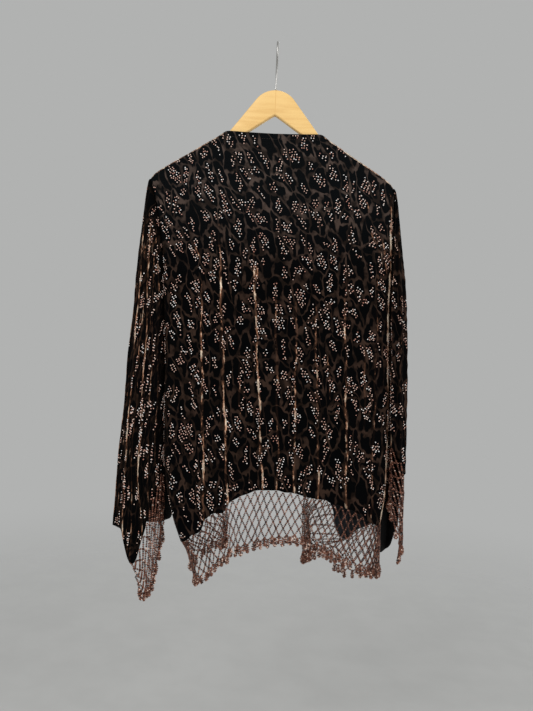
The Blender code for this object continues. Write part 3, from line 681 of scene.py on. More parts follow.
def repeated(name, shape, centres, axes, sizes, finish):
    """A piece of copies of a small shape: each point is the copy's centre plus its three axes times the
    shape's coordinates and the copy's size along each axis."""
    points, faces = shape
    copies = centres[:, None, :] + sum(
        points[None, :, k, None] * (axes[k] * sizes[:, [k]])[:, None, :] for k in range(3))
    first = np.arange(len(centres))[:, None, None] * len(points)
    return new_piece(name, copies.reshape(-1, 3), (faces[None] + first).reshape(-1, 3), finish)


def axes_about(direction, hint):
    """Three unit axes for each direction: two square to it, the second near the hint, and itself."""
    along = unit(direction)
    first = unit(np.cross(np.array(hint), along))
    return first, np.cross(along, first), along


def two_rings(sides, *rings):
    """Points of two level rings, each of a radius and a height, the triangles between them, the numbers of
    the lower ring's points and those of the points after them."""
    angle = np.arange(sides) * 2 * np.pi / sides
    points = [np.stack([r * np.cos(angle), r * np.sin(angle), np.full(sides, h)], axis=1) for r, h in rings]
    k = np.arange(sides)
    n = (k + 1) % sides
    return points, [np.stack([k, n, n + sides], axis=1), np.stack([k, n + sides, k + sides], axis=1)], k, n


def bead_shape():
    """A seed bead: two rings of six points and two poles, nearly half a unit each way from its middle."""
    points, faces, k, n = two_rings(6, (0.5, -0.24), (0.5, 0.24))
    low, high = np.full(6, 12), np.full(6, 13)
    ends = [np.stack([n, k, low], axis=1), np.stack([k + 6, n + 6, high], axis=1)]
    return np.concatenate([*points, [[0, 0, -0.46], [0, 0, 0.46]]]), np.concatenate([*faces, *ends])


def dome_shape():
    """A dot: a low closed dome on an eight-sided base, one unit wide and one high."""
    points, faces, k, n = two_rings(8, (0.5, 0.0), (0.39, 0.6))
    base = np.arange(1, 7)
    ends = [np.stack([k + 8, n + 8, np.full(8, 16)], axis=1), np.stack([0 * base, base + 1, base], axis=1)]
    return np.concatenate([*points, [[0, 0, 1.0]]]), np.concatenate([*faces, *ends])


def add_node(tree, kind, inputs, **settings):
    """Outputs of a node with its settings. inputs gives its sockets values, or outputs to link."""
    node = tree.nodes.new(kind)
    for name, value in settings.items():
        setattr(node, name, value)
    for socket, value in inputs.items():
        if isinstance(value, bpy.types.NodeSocket):
            tree.links.new(value, node.inputs[socket])
        else:
            node.inputs[socket].default_value = value
    return node.outputs


def mix(tree, factor, first, second, blend="MIX"):
    """Output of a colour mix."""
    return add_node(tree, "ShaderNodeMix", {0: factor, 6: first, 7: second}, data_type="RGBA",
                    blend_type=blend)[2]


def times(tree, tone, factor):
    """Output of a colour times a factor."""
    return mix(tree, 1.0, tone, factor, "MULTIPLY")


def math(tree, operation, *values, clamp=False):
    """Output of a math node."""
    return add_node(tree, "ShaderNodeMath", dict(enumerate(values)), operation=operation, use_clamp=clamp)[0]


def vector(tree, operation, *values, out="Vector"):
    """Output of a vector math node."""
    return add_node(tree, "ShaderNodeVectorMath", dict(enumerate(values)), operation=operation)[out]


def soft_step(tree, value, start, end, low=0.0, high=1.0):
    """Output that eases from low to high while a value goes from start to end."""
    return add_node(tree, "ShaderNodeMapRange", dict(enumerate((value, start, end, low, high))),
                    interpolation_type="SMOOTHSTEP")[0]


def noise(tree, place, scale, detail, roughness=0.5, dimensions="3D", out="Fac"):
    """Output of a noise texture."""
    return add_node(tree, "ShaderNodeTexNoise",
                    {"Vector": place, "Scale": scale, "Detail": detail, "Roughness": roughness},
                    noise_dimensions=dimensions)[out]


def apart(tree, place):
    """The X, Y and Z of a place."""
    return add_node(tree, "ShaderNodeSeparateXYZ", {0: place})


def bump(tree, height, strength, distance):
    """A normal that follows a height."""
    return add_node(tree, "ShaderNodeBump", {"Height": height, "Strength": strength, "Distance": distance})[0]


def attribute(tree, name):
    """Output of a number that the mesh carries."""
    return add_node(tree, "ShaderNodeAttribute", {}, attribute_name=name)["Fac"]


def object_place(tree):
    """Output of the place in the object's own coordinates."""
    return add_node(tree, "ShaderNodeTexCoord", {})["Object"]


def cloth_place(tree):
    """Output of the place on the flat cloth, in metres."""
    return add_node(tree, "ShaderNodeUVMap", {}, uv_map="cloth")[0]


def tint(name, factor=1.0):
    """A colour of the finishes, times a factor and with full alpha."""
    return (*(factor * part for part in getattr(bpy.context.scene.jacket_colours, name)), 1.0)


def spot_nodes(tree, cloth):
    """Nodes of the spots: flat-cloth metres, leant over a little, scaled to one spot a unit and bent by two
    noises, then cut into cells. Gives the distance from the cell's edge, the cell's own random colour, the
    scaled place and the way from the cell's heart."""
    sizes = bpy.context.scene.jacket_sizes
    parts = apart(tree, cloth)
    leant = math(tree, "MULTIPLY_ADD", parts["Y"], -SPOT_LEAN, parts["X"])
    level = add_node(tree, "ShaderNodeCombineXYZ", {"X": leant, "Y": parts["Y"]})[0]
    place = vector(tree, "MULTIPLY", level, (1 / sizes.spot_width, 1 / sizes.spot_length, 0.0))
    bent = place
    for scale, amount in SPOT_BENDS:
        bend = noise(tree, place, scale, 0.0, 0.5, "2D", "Color")
        bend = vector(tree, "SUBTRACT", bend, (0.5, 0.5, 0.5))
        bent = vector(tree, "ADD", bent, vector(tree, "MULTIPLY", bend, (amount, amount, 0.0)))
    cells = {"Vector": bent, "Scale": 1.0, "Randomness": SPOT_UNEVEN}
    edge, cell = (add_node(tree, "ShaderNodeTexVoronoi", cells, voronoi_dimensions="2D", feature=feature)
                  for feature in ("DISTANCE_TO_EDGE", "F1"))
    return edge["Distance"], cell["Color"], place, vector(tree, "SUBTRACT", bent, cell["Position"])


def add_group(tree, fill, **given):
    """Outputs of a shader node group with its inputs. The group has the name of the function that fills it,
    which runs at the first use: it gets the group's tree and inputs, and gives its outputs by name."""
    group = bpy.data.node_groups.get(fill.__name__)
    if not group:
        group = bpy.data.node_groups.new(fill.__name__, "ShaderNodeTree")

        def socket(label, way):
            kind = SOCKETS.get(label, "NodeSocketFloat")
            group.interface.new_socket(label, in_out=way, socket_type=kind)

        for label in given:
            socket(label, "INPUT")
        inputs = group.nodes.new("NodeGroupInput").outputs
        made = fill(group, *(inputs[label] for label in given))
        for label in made:
            socket(label, "OUTPUT")
        out = group.nodes.new("NodeGroupOutput")
        for label, value in made.items():
            group.links.new(value, out.inputs[label])
    return add_node(tree, "ShaderNodeGroup", given, node_tree=group)


def velvet_spots(tree, cloth):
    """Mask of the ground lines between the spots."""
    share = bpy.context.scene.jacket_sizes.line_share
    edge, _, place, _ = spot_nodes(tree, cloth)
    uneven = noise(tree, place, 2.3, 1.0, 0.5, "2D")
    width = soft_step(tree, uneven, 0.30, 0.72, 0.35 * share, 1.65 * share)
    return {"Ground": soft_step(tree, math(tree, "SUBTRACT", edge, width), -0.03, 0.035, 1.0, 0.0)}


def cloth_fibre(tree, cloth):
    """Fine uneven fibre of cloth: a height, and a tone from 0 to 1."""
    long = vector(tree, "MULTIPLY", cloth, (1.0, 0.45, 1.0))
    return {"Height": noise(tree, long, 1500.0, 2.0, 0.6, "2D"),
            "Tone": noise(tree, cloth, 38.0, 3.0, 0.55, "2D")}


def worn_nap(tree, cloth, away, wear, ground):
    """Crushed nap along the crests, with painted sheen: it is painted pale. The line is where the distance
    from the crest, made ragged by a noise, is under a width that changes along the crest, more where its nap
    is crushed most, and is nothing in places. The band is a wider soft band of painted sheen, mostly on the
    ground. The tone tells the brightest stretches of the line."""
    rough = noise(tree, vector(tree, "MULTIPLY", cloth, (1.0, 0.5, 1.0)), 240.0, 2.0, 0.6, "2D")
    ragged = math(tree, "MULTIPLY_ADD", rough, 2.6, -1.3)
    near = math(tree, "ABSOLUTE", math(tree, "ADD", away, ragged))
    streak = noise(tree, vector(tree, "MULTIPLY", cloth, (1.0, 0.3, 1.0)), 105.0, 3.0, 0.7, "2D")
    streak = math(tree, "MULTIPLY_ADD", wear, 0.22, math(tree, "SUBTRACT", streak, 0.18))
    wide = soft_step(tree, streak, 0.36, 0.60, -0.7, 1.45)
    line = soft_step(tree, math(tree, "SUBTRACT", near, wide), -0.3, 0.35, 1.0, 0.0)
    line = math(tree, "MULTIPLY", line, math(tree, "SQRT", wear))
    line = math(tree, "MULTIPLY", line, math(tree, "MULTIPLY_ADD", ground, 0.4, 0.6), clamp=True)
    rub_and_sheen = math(tree, "MULTIPLY", soft_step(tree, near, 0.5, 2.6, 0.45, 0.0), wear)
    rub_and_sheen = math(tree, "MULTIPLY", rub_and_sheen, math(tree, "MULTIPLY_ADD", ground, 0.8, 0.2), clamp=True)
    return {"Line": line, "Rub": rub_and_sheen, "Tone": soft_step(tree, streak, 0.49, 0.66)}


def bead_lustre(tree, tone, dark, light, glint):
    """A bead's or dot's colour, from dark to light by its tone, and a painted glint at the top of the range.
    """
    plain = mix(tree, tone, dark, light)
    return {"Colour": mix(tree, soft_step(tree, tone, 0.72, 0.90), plain, glint),
            "Roughness": soft_step(tree, tone, 0.0, 1.0, 0.42, 0.2)}


def material(name, fill, *given, **constants):
    """The material of a name, made at its first use. Plain numbers and colours are set on its Principled
    shader's own sockets, and fill gives the values that are linked to others."""
    if name in bpy.data.materials:
        return bpy.data.materials[name]
    made = bpy.data.materials.new(name)
    made.use_nodes = True
    tree = made.node_tree
    sockets = tree.nodes["Principled BSDF"].inputs
    for socket, value in constants.items():
        sockets[socket.replace("_", " ")].default_value = value
    for socket, value in fill(tree, *given).items():
        tree.links.new(value, sockets[socket])
    return made


def velvet(tree):
    """Right side of the cloth: black pile spots on a brown ground, with crushed nap on the crests that is
    painted pale as painted sheen. The cloth is painted lighter over the shoulders than below, as painted
    light from above, and darker in the close pleats, as painted shade."""
    cloth = cloth_place(tree)
    ground = add_group(tree, velvet_spots, Cloth=cloth)["Ground"]
    fibre = add_group(tree, cloth_fibre, Cloth=cloth)
    nap = add_group(tree, worn_nap, Cloth=cloth, Away=attribute(tree, "away"), Wear=attribute(tree, "wear"),
                    Ground=ground)
    height = apart(tree, cloth)["Y"]
    # Painted light: low goes from the shoulders (0) to below (1) and mixes the colours painted lighter over
    # the shoulders into the plain ones.
    low = soft_step(tree, height, 0.24, 0.46)
    tone_and_pleat_shade = soft_step(tree, fibre["Tone"], 0.36, 0.68, 0.3, 1.45)
    # Painted shade: the ground of the close pleats is painted darker, as shade.
    tone_and_pleat_shade = math(tree, "MULTIPLY", tone_and_pleat_shade, soft_step(tree, height, SHADED_PLEATS, SHADED_PLEATS + 0.3, 1.0, 0.42))
    brown = times(tree, mix(tree, low, tint("ground_high"), tint("ground")), tone_and_pleat_shade)
    nappy = soft_step(tree, fibre["Height"], 0.3, 0.7, 0.5, 1.6)
    black = times(tree, mix(tree, low, tint("pile_high"), tint("pile")), nappy)
    # Painted sheen: the soft band beside the crests and the pale line on them are painted lighter, as sheen
    # on the crushed nap.
    rubbed_and_sheen = mix(tree, nap["Rub"], mix(tree, ground, black, brown), tint("worn"))
    pale = mix(tree, nap["Tone"], tint("worn", 2.4), tint("crest"))
    pile = math(tree, "MULTIPLY_ADD", ground, -1.0, math(tree, "MULTIPLY", fibre["Height"], 0.5))
    return {"Base Color": mix(tree, nap["Line"], rubbed_and_sheen, pale),
            "Roughness": soft_step(tree, ground, 0.0, 1.0, 0.95, 0.6),
            "Normal": bump(tree, pile, 0.55, 0.0007)}


def wrong_side(tree, name):
    """Inner face of the cloth: plain, with the spots showing through a little."""
    cloth = cloth_place(tree)
    ground = add_group(tree, velvet_spots, Cloth=cloth)["Ground"]
    fibre = add_group(tree, cloth_fibre, Cloth=cloth)
    base = mix(tree, ground, tint(name), tint(name, 0.6))
    return {"Base Color": times(tree, base, soft_step(tree, fibre["Tone"], 0.25, 0.8, 0.7, 1.25)),
            "Roughness": soft_step(tree, fibre["Tone"], 0.2, 0.8, 0.7, 0.9),
            "Normal": bump(tree, fibre["Height"], 0.4, 0.0004)}


def streaked(tree, name, stretch, detail, tone, rough, strength, depth):
    """A thread or a wire: fine streaks change its tone, its roughness and its height."""
    streak = noise(tree, vector(tree, "MULTIPLY", object_place(tree), stretch), 1.0, detail)
    return {"Base Color": times(tree, tint(name), soft_step(tree, streak, *tone)),
            "Roughness": soft_step(tree, streak, *rough),
            "Normal": bump(tree, streak, strength, depth)}


def lustre(tree, dark, light, glint):
    """Beads or dots whose colour follows the tone of each."""
    made = add_group(tree, bead_lustre, Tone=attribute(tree, "tone"), Dark=tint(dark), Light=tint(light),
                     Glint=tint(glint))
    return {"Base Color": made["Colour"], "Roughness": made["Roughness"]}


def varnished(tree):
    """Varnished wood: fine grain along the hanger, with a few broad bands, small dark flecks and a fine joint
    in the middle, where the two arms meet."""
    place = object_place(tree)
    drawn = vector(tree, "MULTIPLY", place, (0.12, 1.0, 1.0))
    bent = vector(tree, "MULTIPLY", noise(tree, place, 9.0, 2.0, out="Color"), (0.004, 0.004, 0.012))
    bands = noise(tree, vector(tree, "ADD", bent, drawn), 120.0, 3.0, 0.55)
    flecks = noise(tree, vector(tree, "MULTIPLY", place, (0.35, 1.0, 1.0)), 900.0, 1.0)
    grain = soft_step(tree, bands, 0.38, 0.72, 0.0, 0.5)
    fleck = soft_step(tree, flecks, 0.66, 0.76, 0.0, 0.35)
    joint = soft_step(tree, math(tree, "ABSOLUTE", apart(tree, place)["X"]), 0.0002, 0.0009, 0.8, 0.0)
    marks = math(tree, "MAXIMUM", math(tree, "MAXIMUM", grain, fleck), joint)
    return {"Base Color": mix(tree, marks, tint("wood"), tint("grain")),
            "Roughness": soft_step(tree, bands, 0.3, 0.8, 0.36, 0.5),
            "Normal": bump(tree, bands, 0.12, 0.0003)}


def pale_ground(tree):
    """Pale floor, a little uneven, that fades out with the distance from the middle."""
    place = object_place(tree)
    tone = soft_step(tree, noise(tree, place, 9.0, 4.0), 0.2, 0.8, 0.96, 1.03)
    far = vector(tree, "LENGTH", vector(tree, "MULTIPLY", place, (1.0, 1.0, 0.0)), out="Value")
    return {"Base Color": times(tree, tint("floor"), tone), "Alpha": soft_step(tree, far, 0.5, 3.0, 1.0, 0.0)}


def spots_at(flat):
    """Edge distance, random colour and way from the heart of the spots at flat-cloth points, worked out by
    the same nodes as the material's, on a throwaway set of points."""
    tree = bpy.data.node_groups.new("spots_at_points", "GeometryNodeTree")
    for way in ("INPUT", "OUTPUT"):
        tree.interface.new_socket("Geometry", in_out=way, socket_type="NodeSocketGeometry")
    made = tree.nodes.new("NodeGroupInput").outputs[0]
    edge, cell, _, away = spot_nodes(tree, add_node(tree, "GeometryNodeInputPosition", {})[0])
    wanted = {"edge": edge, "cell": cell, "away": away}
    for name, value in wanted.items():
        made = add_node(tree, "GeometryNodeStoreNamedAttribute",
                        {"Geometry": made, "Name": name, "Value": value}, data_type="FLOAT_VECTOR")[0]
    tree.links.new(made, tree.nodes.new("NodeGroupOutput").inputs[0])
    obj = new_piece("spot_points", np.column_stack([flat, np.zeros(len(flat))]), np.empty((0, 3), int))
    obj.modifiers.new("spots", "NODES").node_group = tree
    found = obj.evaluated_get(bpy.context.evaluated_depsgraph_get()).data.attributes
    values = np.empty((len(wanted), 3 * len(flat)), np.float32)
    for name, row in zip(wanted, values):
        found[name].data.foreach_get("vector", row)
    bpy.data.meshes.remove(obj.data)
    bpy.data.node_groups.remove(tree)
    edge, cell, away = values.reshape(len(wanted), -1, 3)
    return edge[:, 0], cell, away


def dot_lattice(flat, step, draw):
    """Rows and columns, in parts of a grid's step, of a shaken lattice of places on a cloth grid. It goes row
    by row, each with places an even step apart on the flat cloth, every second row half a step over."""
    top, hem, side = DOT_MARGINS
    lengths = np.abs(flat[:, :, 1]).mean(axis=1)
    lengths = lengths - lengths[0]
    levels = np.arange(top, lengths[-1] - hem, DOT_ROWS * step)
    rows, columns = [], []
    for number, level in enumerate(np.interp(levels, lengths, np.arange(len(lengths)))):
        lower = min(int(level), len(flat) - 2)
        line = flat[lower, :, 0] + (level - lower) * (flat[lower + 1, :, 0] - flat[lower, :, 0])
        places = np.arange(line[0] + side + 0.5 * step * (number % 2), line[-1] - side, step)
        places = places + draw.uniform(-DOT_SHAKE[0], DOT_SHAKE[0], len(places)) * step
        columns.append(np.interp(places, line, np.arange(len(line))))
        rows.append(level + draw.uniform(-DOT_SHAKE[1], DOT_SHAKE[1], len(places)))
    return np.concatenate(rows), np.concatenate(columns)


def dots_piece(name, points, flat, flip, share):
    """Clusters of dots: places of a lattice, kept where they lie in a long bent patch at the heart of a spot.
    The patch is an ellipse, turned and bent along its length. Its size, turn and bend differ from spot to
    spot. Only a share of the spots has dots."""
    sizes = bpy.context.scene.jacket_sizes
    draw = np.random.default_rng(SEEDS[name])
    row, column = dot_lattice(flat, sizes.dot_step, draw)
    edge, cell, heart = spots_at(between(flat, row, column))
    turn = PATCH_TURN * (cell[:, 1] - 0.5)
    over = heart[:, 0] * sizes.spot_width / MM
    down = heart[:, 1] * sizes.spot_length / MM
    y = down * np.cos(turn) - over * np.sin(turn)
    x = over * np.cos(turn) + down * np.sin(turn) + PATCH_BEND * (cell[:, 2] - 0.5) * y ** 2
    wide = PATCH_WIDE[0] + PATCH_WIDE[1] * cell[:, 2]
    long = PATCH_LONG[0] + PATCH_LONG[1] * cell[:, 0]
    kept = ((x / wide) ** 2 + (y / long) ** 2 < 1) & (edge > DOT_EDGE) & (cell[:, 1] < share)
    row, column, cell = row[kept], column[kept], cell[kept]
    normal = between(outward(points, flip), row, column)
    centres = between(points, row, column) * MM + normal * (sizes.wall / 2 - DOT_SINK)
    size = sizes.dot * draw.uniform(*DOT_SIZES, (len(row), 1)) * (1.0, 1.0, DOT_HIGH)
    finish = material("bright_dots", lustre, "dot_copper", "dot_pale", "dot_glint", Specular_IOR_Level=1.0,
                      Coat_Weight=0.4, Coat_Roughness=0.25)
    shape = dome_shape()
    obj = repeated(name, shape, centres, axes_about(normal, (0.0, 0.0, 1.0)), size, finish)
    tone = (1 - DOT_ALIKE) * draw.beta(*DOT_TONES, len(row)) + DOT_ALIKE * cell[:, 2]
    attach(obj.data, "tone", np.repeat(tone, len(shape[0])))
    return settle(obj, "beads")


def stitches_piece(points):
    """Short stitches along the neck, a little below its edge. The row is found from the even rows below the
    bend, and each stitch is a long bead, laid along X on the cloth."""
    draw = np.random.default_rng(SEEDS["neck_stitches"])
    below = len(RIDGE_STEPS) - 1
    even = np.linalg.norm(points[below + 1] - points[below], axis=-1)
    first = TURN_STEPS + BACK_STEPS[0] + BACK_STEPS[1]
    column = np.arange(first + 1.0, first + BACK_STEPS[2], STITCH_STEP)
    row = below + (NECK_HEM - RIDGE_STEPS[-1]) / np.interp(column, np.arange(len(even)), even)
    normal = between(outward(points), row, column)
    out = bpy.context.scene.jacket_sizes.wall / 2 + DOT_SINK
    centres = between(points, row, column) * MM + normal * out
    size = np.array(STITCH) * draw.uniform(*STITCH_SIZES, (len(row), 3))
    along = np.array([1.0, 0.0, 0.0]) + draw.uniform(-STITCH_SLANT, STITCH_SLANT, (len(row), 3))
    finish = material("thread", streaked, "thread", (2600.0, 900.0, 900.0), 1.0, (0.3, 0.7, 0.55, 1.3),
                      (0.3, 0.7, 0.85, 0.65), 0.3, 0.0002, Specular_IOR_Level=0.2)
    axes = axes_about(along, (0.0, 1.0, 0.0))
    return settle(repeated("neck_stitches", bead_shape(), centres, axes, size, finish), "velvet")


def net_knots(name, edge, draw):
    """Knots of a net that hangs from an edge, a row of points in mm. They are a lattice: along by half
    diamonds of the edge's length, in which its fall counts only in part, and down by half rows. A knot a
    share of the way down is the edge's point, swung along X by the table's swing times that share to a
    power, and let down by the table's length times it. Below its top, a net's free edge falls together into
    a narrower bunch, whose lower edge is where the net's was."""
    sizes = bpy.context.scene.jacket_sizes
    make, reach = NET_MAKE[name], NET_REACH[name]
    step = np.linalg.norm(np.diff(edge, axis=0) * (1.0, 1.0, make["steep"]), axis=-1)
    run = np.concatenate([[0.0], np.cumsum(step)])
    halves = max(4, 2 * round(make["full"] * run[-1] / (sizes.diamond / MM)))
    i, j = np.mgrid[0:halves + 1, 0:make["half_rows"] + 1]
    place = np.linspace(0.0, 1.0, len(edge))
    along = np.interp(i * run[-1] / halves, run, place)
    x, y, top = (np.interp(along, place, edge[:, axis]) for axis in range(3))
    level = np.minimum(j / (make["half_rows"] - LAST_ROW), 1.0)

    def part_down(length):
        """Share of the way down of each knot."""
        return (NET_ROOM + level * (length - sizes.loop / MM - NET_ROOM)) / length

    length = read(reach, "length", along)
    down = part_down(length)
    wander = draw.uniform(-NET_WANDER, NET_WANDER, (3, *i.shape)) * np.minimum(j, 2) / 2
    x = x + read(reach, "swing", along) * down ** NET_SWING
    if name in NET_GATHER:
        wide, bunch = NET_GATHER[name]
        free = np.abs(x - x[-1])
        still = GATHER_ENDS * wide
        pulled = np.interp(free, (0.0, wide, still, NET_FAR), (0.0, bunch, still, NET_FAR))
        order = np.argsort(x[:, -1])
        before, low = x[order, -1], (top - length)[order, -1]
        x = x + np.sign(x[-1] - x) * (free - pulled) * ease(down, *GATHER_GROWS)
        length = top - np.interp(x[:, -1], before, low)[:, None]
        down = part_down(length)
    y = y + NET_WAVE * np.sin(NET_TURNS[0] * i + NET_TURNS[1] * j)
    return np.stack([x, y, top - length * down], axis=-1) + np.moveaxis(wander, 0, -1)


def strand_beads(knots, tied, bead):
    """Centres, ways and lengths of the beads of the strands, which run straight between tied knots."""
    i, j = np.indices(tied.shape)
    halves, count = np.array(tied.shape) - 1
    starts, ends = [], []
    for step in (-1, 1):
        here = np.argwhere(tied & (j < count) & (i + step >= 0) & (i + step <= halves))
        starts.append(knots[here[:, 0], here[:, 1]])
        ends.append(knots[here[:, 0] + step, here[:, 1] + 1])
    start, end = np.concatenate(starts), np.concatenate(ends)
    reach = np.linalg.norm(end - start, axis=-1)
    number = np.maximum(2, np.round(reach / bead)).astype(int)
    which = np.repeat(np.arange(len(number)), number)
    share = (np.arange(len(which)) - np.repeat(np.cumsum(number) - number, number) + 0.5) / number[which]
    way = (end - start)[which]
    return start[which] + share[:, None] * way, way, (reach / number)[which]


def loop_beads(knots, tied, loop, draw):
    """Centres and ways of the beads of the loops. A loop, an upright ellipse that is wider below and has a
    few beads in its middle, hangs under each lowest knot and under some of those just above."""
    rows_above = tied.shape[1] - 1 - np.indices(tied.shape)[1]
    hung = tied & ((rows_above == 0) | ((rows_above == 1) & (draw.uniform(size=tied.shape) < LOOP_SHARE)))
    knot = knots[hung]
    shift = draw.uniform(0.0, LOOP_SHIFT, len(knot))
    around = np.linspace(0.0, 2 * np.pi, LOOP_BEADS + 1)[:-1, None] + shift
    turned = draw.uniform(-LOOP_TURN, LOOP_TURN, len(knot))
    wide = loop * draw.uniform(*LOOP_WIDE, len(knot))
    tall = loop / 2 * draw.uniform(*LOOP_TALL, len(knot))
    aside = wide * np.sin(around) * (LOOP_BELLY[0] - LOOP_BELLY[1] * np.cos(around))
    ring = np.stack([knot[:, 0] + aside * np.cos(turned), knot[:, 1] + aside * np.sin(turned),
                     knot[:, 2] - tall * (1 - np.cos(around))], axis=-1)
    way = wide * np.cos(around)
    ring_way = np.stack([way * np.cos(turned), way * np.sin(turned), -tall * np.sin(around)], axis=-1)
    core_drop = np.linspace(*LOOP_CORE_ENDS, LOOP_CORE)[:, None] * tall
    core = knot - core_drop[:, :, None] * (0.0, 0.0, 1.0)
    core_way = np.broadcast_to((0.0, 0.0, -1.0), core.shape)
    both = ((ring, core), (ring_way, core_way))
    return (np.concatenate([part.reshape(-1, 3) for part in parts]) for parts in both)


def net_piece(name, edge):
    """A beaded net under an edge: every bead is a copy of one shape, laid along its strand or loop."""
    sizes = bpy.context.scene.jacket_sizes
    bead = sizes.bead / MM
    draw = np.random.default_rng(SEEDS[f"net_{name}"])
    knots = net_knots(name, edge, draw)
    tied = np.indices(knots.shape[:2]).sum(axis=0) % 2 == 0
    strand, strand_way, pitch = strand_beads(knots, tied, bead)
    loops, loop_way = loop_beads(knots, tied, sizes.loop / MM, draw)
    centres = np.concatenate([strand, loops]) * MM
    fat = np.repeat([NET_MAKE[name]["fat"] * bead, LOOP_FAT * bead], [len(strand), len(loops)]) * MM
    fat = fat * draw.uniform(*BEAD_FATS, len(fat))
    long = np.concatenate([pitch, np.full(len(loops), LOOP_LONG * bead)]) * MM
    size = np.stack([fat, fat, long * draw.uniform(*BEAD_LONGS, len(fat))], axis=1)
    axes = axes_about(np.concatenate([strand_way, loop_way]), (0.05, 1.0, 0.03))
    finish = material("glass_beads", lustre, "bead_dark", "bead_copper", "bead_glint", Metallic=0.6,
                      Coat_Weight=0.15, Coat_Roughness=0.2)
    shape = bead_shape()
    obj = repeated(f"net_{name}", shape, centres, axes, size, finish)
    tone = draw.beta(*BEAD_TONES, len(fat))
    tone[:len(strand)] *= NET_MAKE[name]["light"]
    tone[len(strand):] = tone[len(strand):] ** LOOP_LIGHT
    attach(obj.data, "tone", np.repeat(tone, len(shape[0])))
    return settle(obj, "beads", f"fringe_{name}")


def wood_upper(x):
    """Drop of the wood's upper edge: a round hump, straight flanks, then arms under the shoulders."""
    tangent = HUMP_RADIUS * HUMP_SLOPE / np.hypot(1.0, HUMP_SLOPE)
    hump = WOOD_APEX + HUMP_RADIUS - np.sqrt(HUMP_RADIUS ** 2 - np.minimum(x, tangent) ** 2)
    flank = hump + HUMP_SLOPE * (np.clip(x, tangent, WOOD_NECK) - tangent)
    return np.where(x > WOOD_NECK, np.maximum(flank, shoulder_drop(x) + SEAT), flank)


def wood_lower(x):
    """Drop of the wood's lower edge: a V with a slightly rounded point and two slopes."""
    rounded = np.hypot(np.minimum(x, ARM_BREAK), V_ROUNDING) - V_ROUNDING
    return WOOD_V + ARM_SLOPES[0] * rounded + ARM_SLOPES[1] * np.maximum(x - ARM_BREAK, 0.0)


def hanger_rings():
    """Sections of the wood along X: tall rectangles with round corners, closing in a round end."""
    hump, arm, end = WOOD_STEPS
    out = np.concatenate([np.linspace(0.0, WOOD_NECK, hump)[:-1], np.linspace(WOOD_NECK, ARM_END, arm)])
    top, low = wood_upper(out), wood_lower(out)
    turn = np.radians(np.linspace(0.0, END_TURN, end)[1:])
    radius = (low[-1] - top[-1]) / 2
    end_out = radius * np.sin(turn)
    end_top = top[-1] + radius * (1 - np.cos(turn)) + ARM_FALL * end_out * np.cos(turn)
    end_low = low[-1] - radius * (1 - np.cos(turn))
    out = np.concatenate([out, ARM_END + end_out])
    top, low = np.concatenate([top, end_top]), np.concatenate([low, end_low])
    x = np.concatenate([-out[:0:-1], out])[:, None]
    top, low = (np.concatenate([half[:0:-1], half])[:, None] for half in (top, low))
    corner = np.minimum(WOOD_ROUND, (low - top) * CORNER_SHARE)
    starts = np.array([-180.0, -90.0, 0.0, 90.0])
    angle = np.radians(np.concatenate([np.linspace(a, a + 90.0, CORNER_STEPS) for a in starts]))
    quarter = np.radians(np.repeat(starts + 45.0, CORNER_STEPS))
    y = np.sign(np.cos(quarter)) * (WOOD_THICK / 2 - corner) + corner * np.cos(angle)
    middle, half = (top + low) / 2, (low - top) / 2
    drop = middle + np.sign(np.sin(quarter)) * (half - corner) + corner * np.sin(angle)
    return np.stack([x + 0 * y, y, -drop], axis=-1)


def hook_rings():
    """Rings of the wire: a curl, a gentle turn back to the middle and the shank, with a round tip."""
    radius = HOOK_INNER + WIRE
    curl_steps, back_steps, shank_steps = HOOK_STEPS
    curl = np.radians(np.linspace(HOOK_TIP, HOOK_TURN, curl_steps))
    y, drop = -radius * np.sin(curl), HOOK_INNER - radius * np.cos(curl)
    lean = np.pi - curl[-1]
    back = np.linspace(lean, 0.0, back_steps)[1:]
    back_radius = -y[-1] / (1 - np.cos(lean))
    back_y = -back_radius * (1 - np.cos(back))
    back_drop = drop[-1] + back_radius * (np.sin(lean) - np.sin(back))
    shank = np.linspace(back_drop[-1], WOOD_APEX - SHANK_GAP, shank_steps)[1:]
    y = np.concatenate([y, back_y, 0 * shank])
    path = np.stack([y, -np.concatenate([drop, back_drop, shank])], axis=1)
    way = unit(np.gradient(path, axis=0))
    tip = np.radians(HOOK_TIP_ROUND)
    size = np.concatenate([WIRE * np.cos(tip), np.full(len(path), WIRE)])[:, None]
    path = np.concatenate([path[0] - np.sin(tip)[:, None] * way[0] * WIRE * HOOK_TIP_LONG, path])
    way = np.concatenate([np.repeat(way[:1], len(tip), axis=0), way])
    turn = np.linspace(0.0, 2 * np.pi, WIRE_SIDES + 1)[:-1]
    inplane = size * np.cos(turn)
    return np.stack([size * np.sin(turn), path[:, :1] - way[:, 1:] * inplane,
                     path[:, 1:] + way[:, :1] * inplane], axis=-1)


def closed_tube(name, rings, finish):
    """A tube through rings of points in mm, closed at both ends by a fan to the end ring's middle."""
    count, sides = rings.shape[:2]
    index = np.arange(count * sides).reshape(count, sides)
    after = np.roll(index, -1, axis=1)
    quads = np.stack([index[:-1], index[1:], after[1:], after[:-1]], axis=-1).reshape(-1, 4)
    start = np.stack([index[0], after[0], np.full(sides, count * sides)], axis=1)
    end = np.stack([after[-1], index[-1], np.full(sides, count * sides + 1)], axis=1)
    points = np.concatenate([rings.reshape(-1, 3), rings[[0, -1]].mean(axis=1)])
    faces = np.concatenate([quads[:, [0, 1, 2]], quads[:, [0, 2, 3]], start, end])
    return new_piece(name, points * MM, faces, finish)


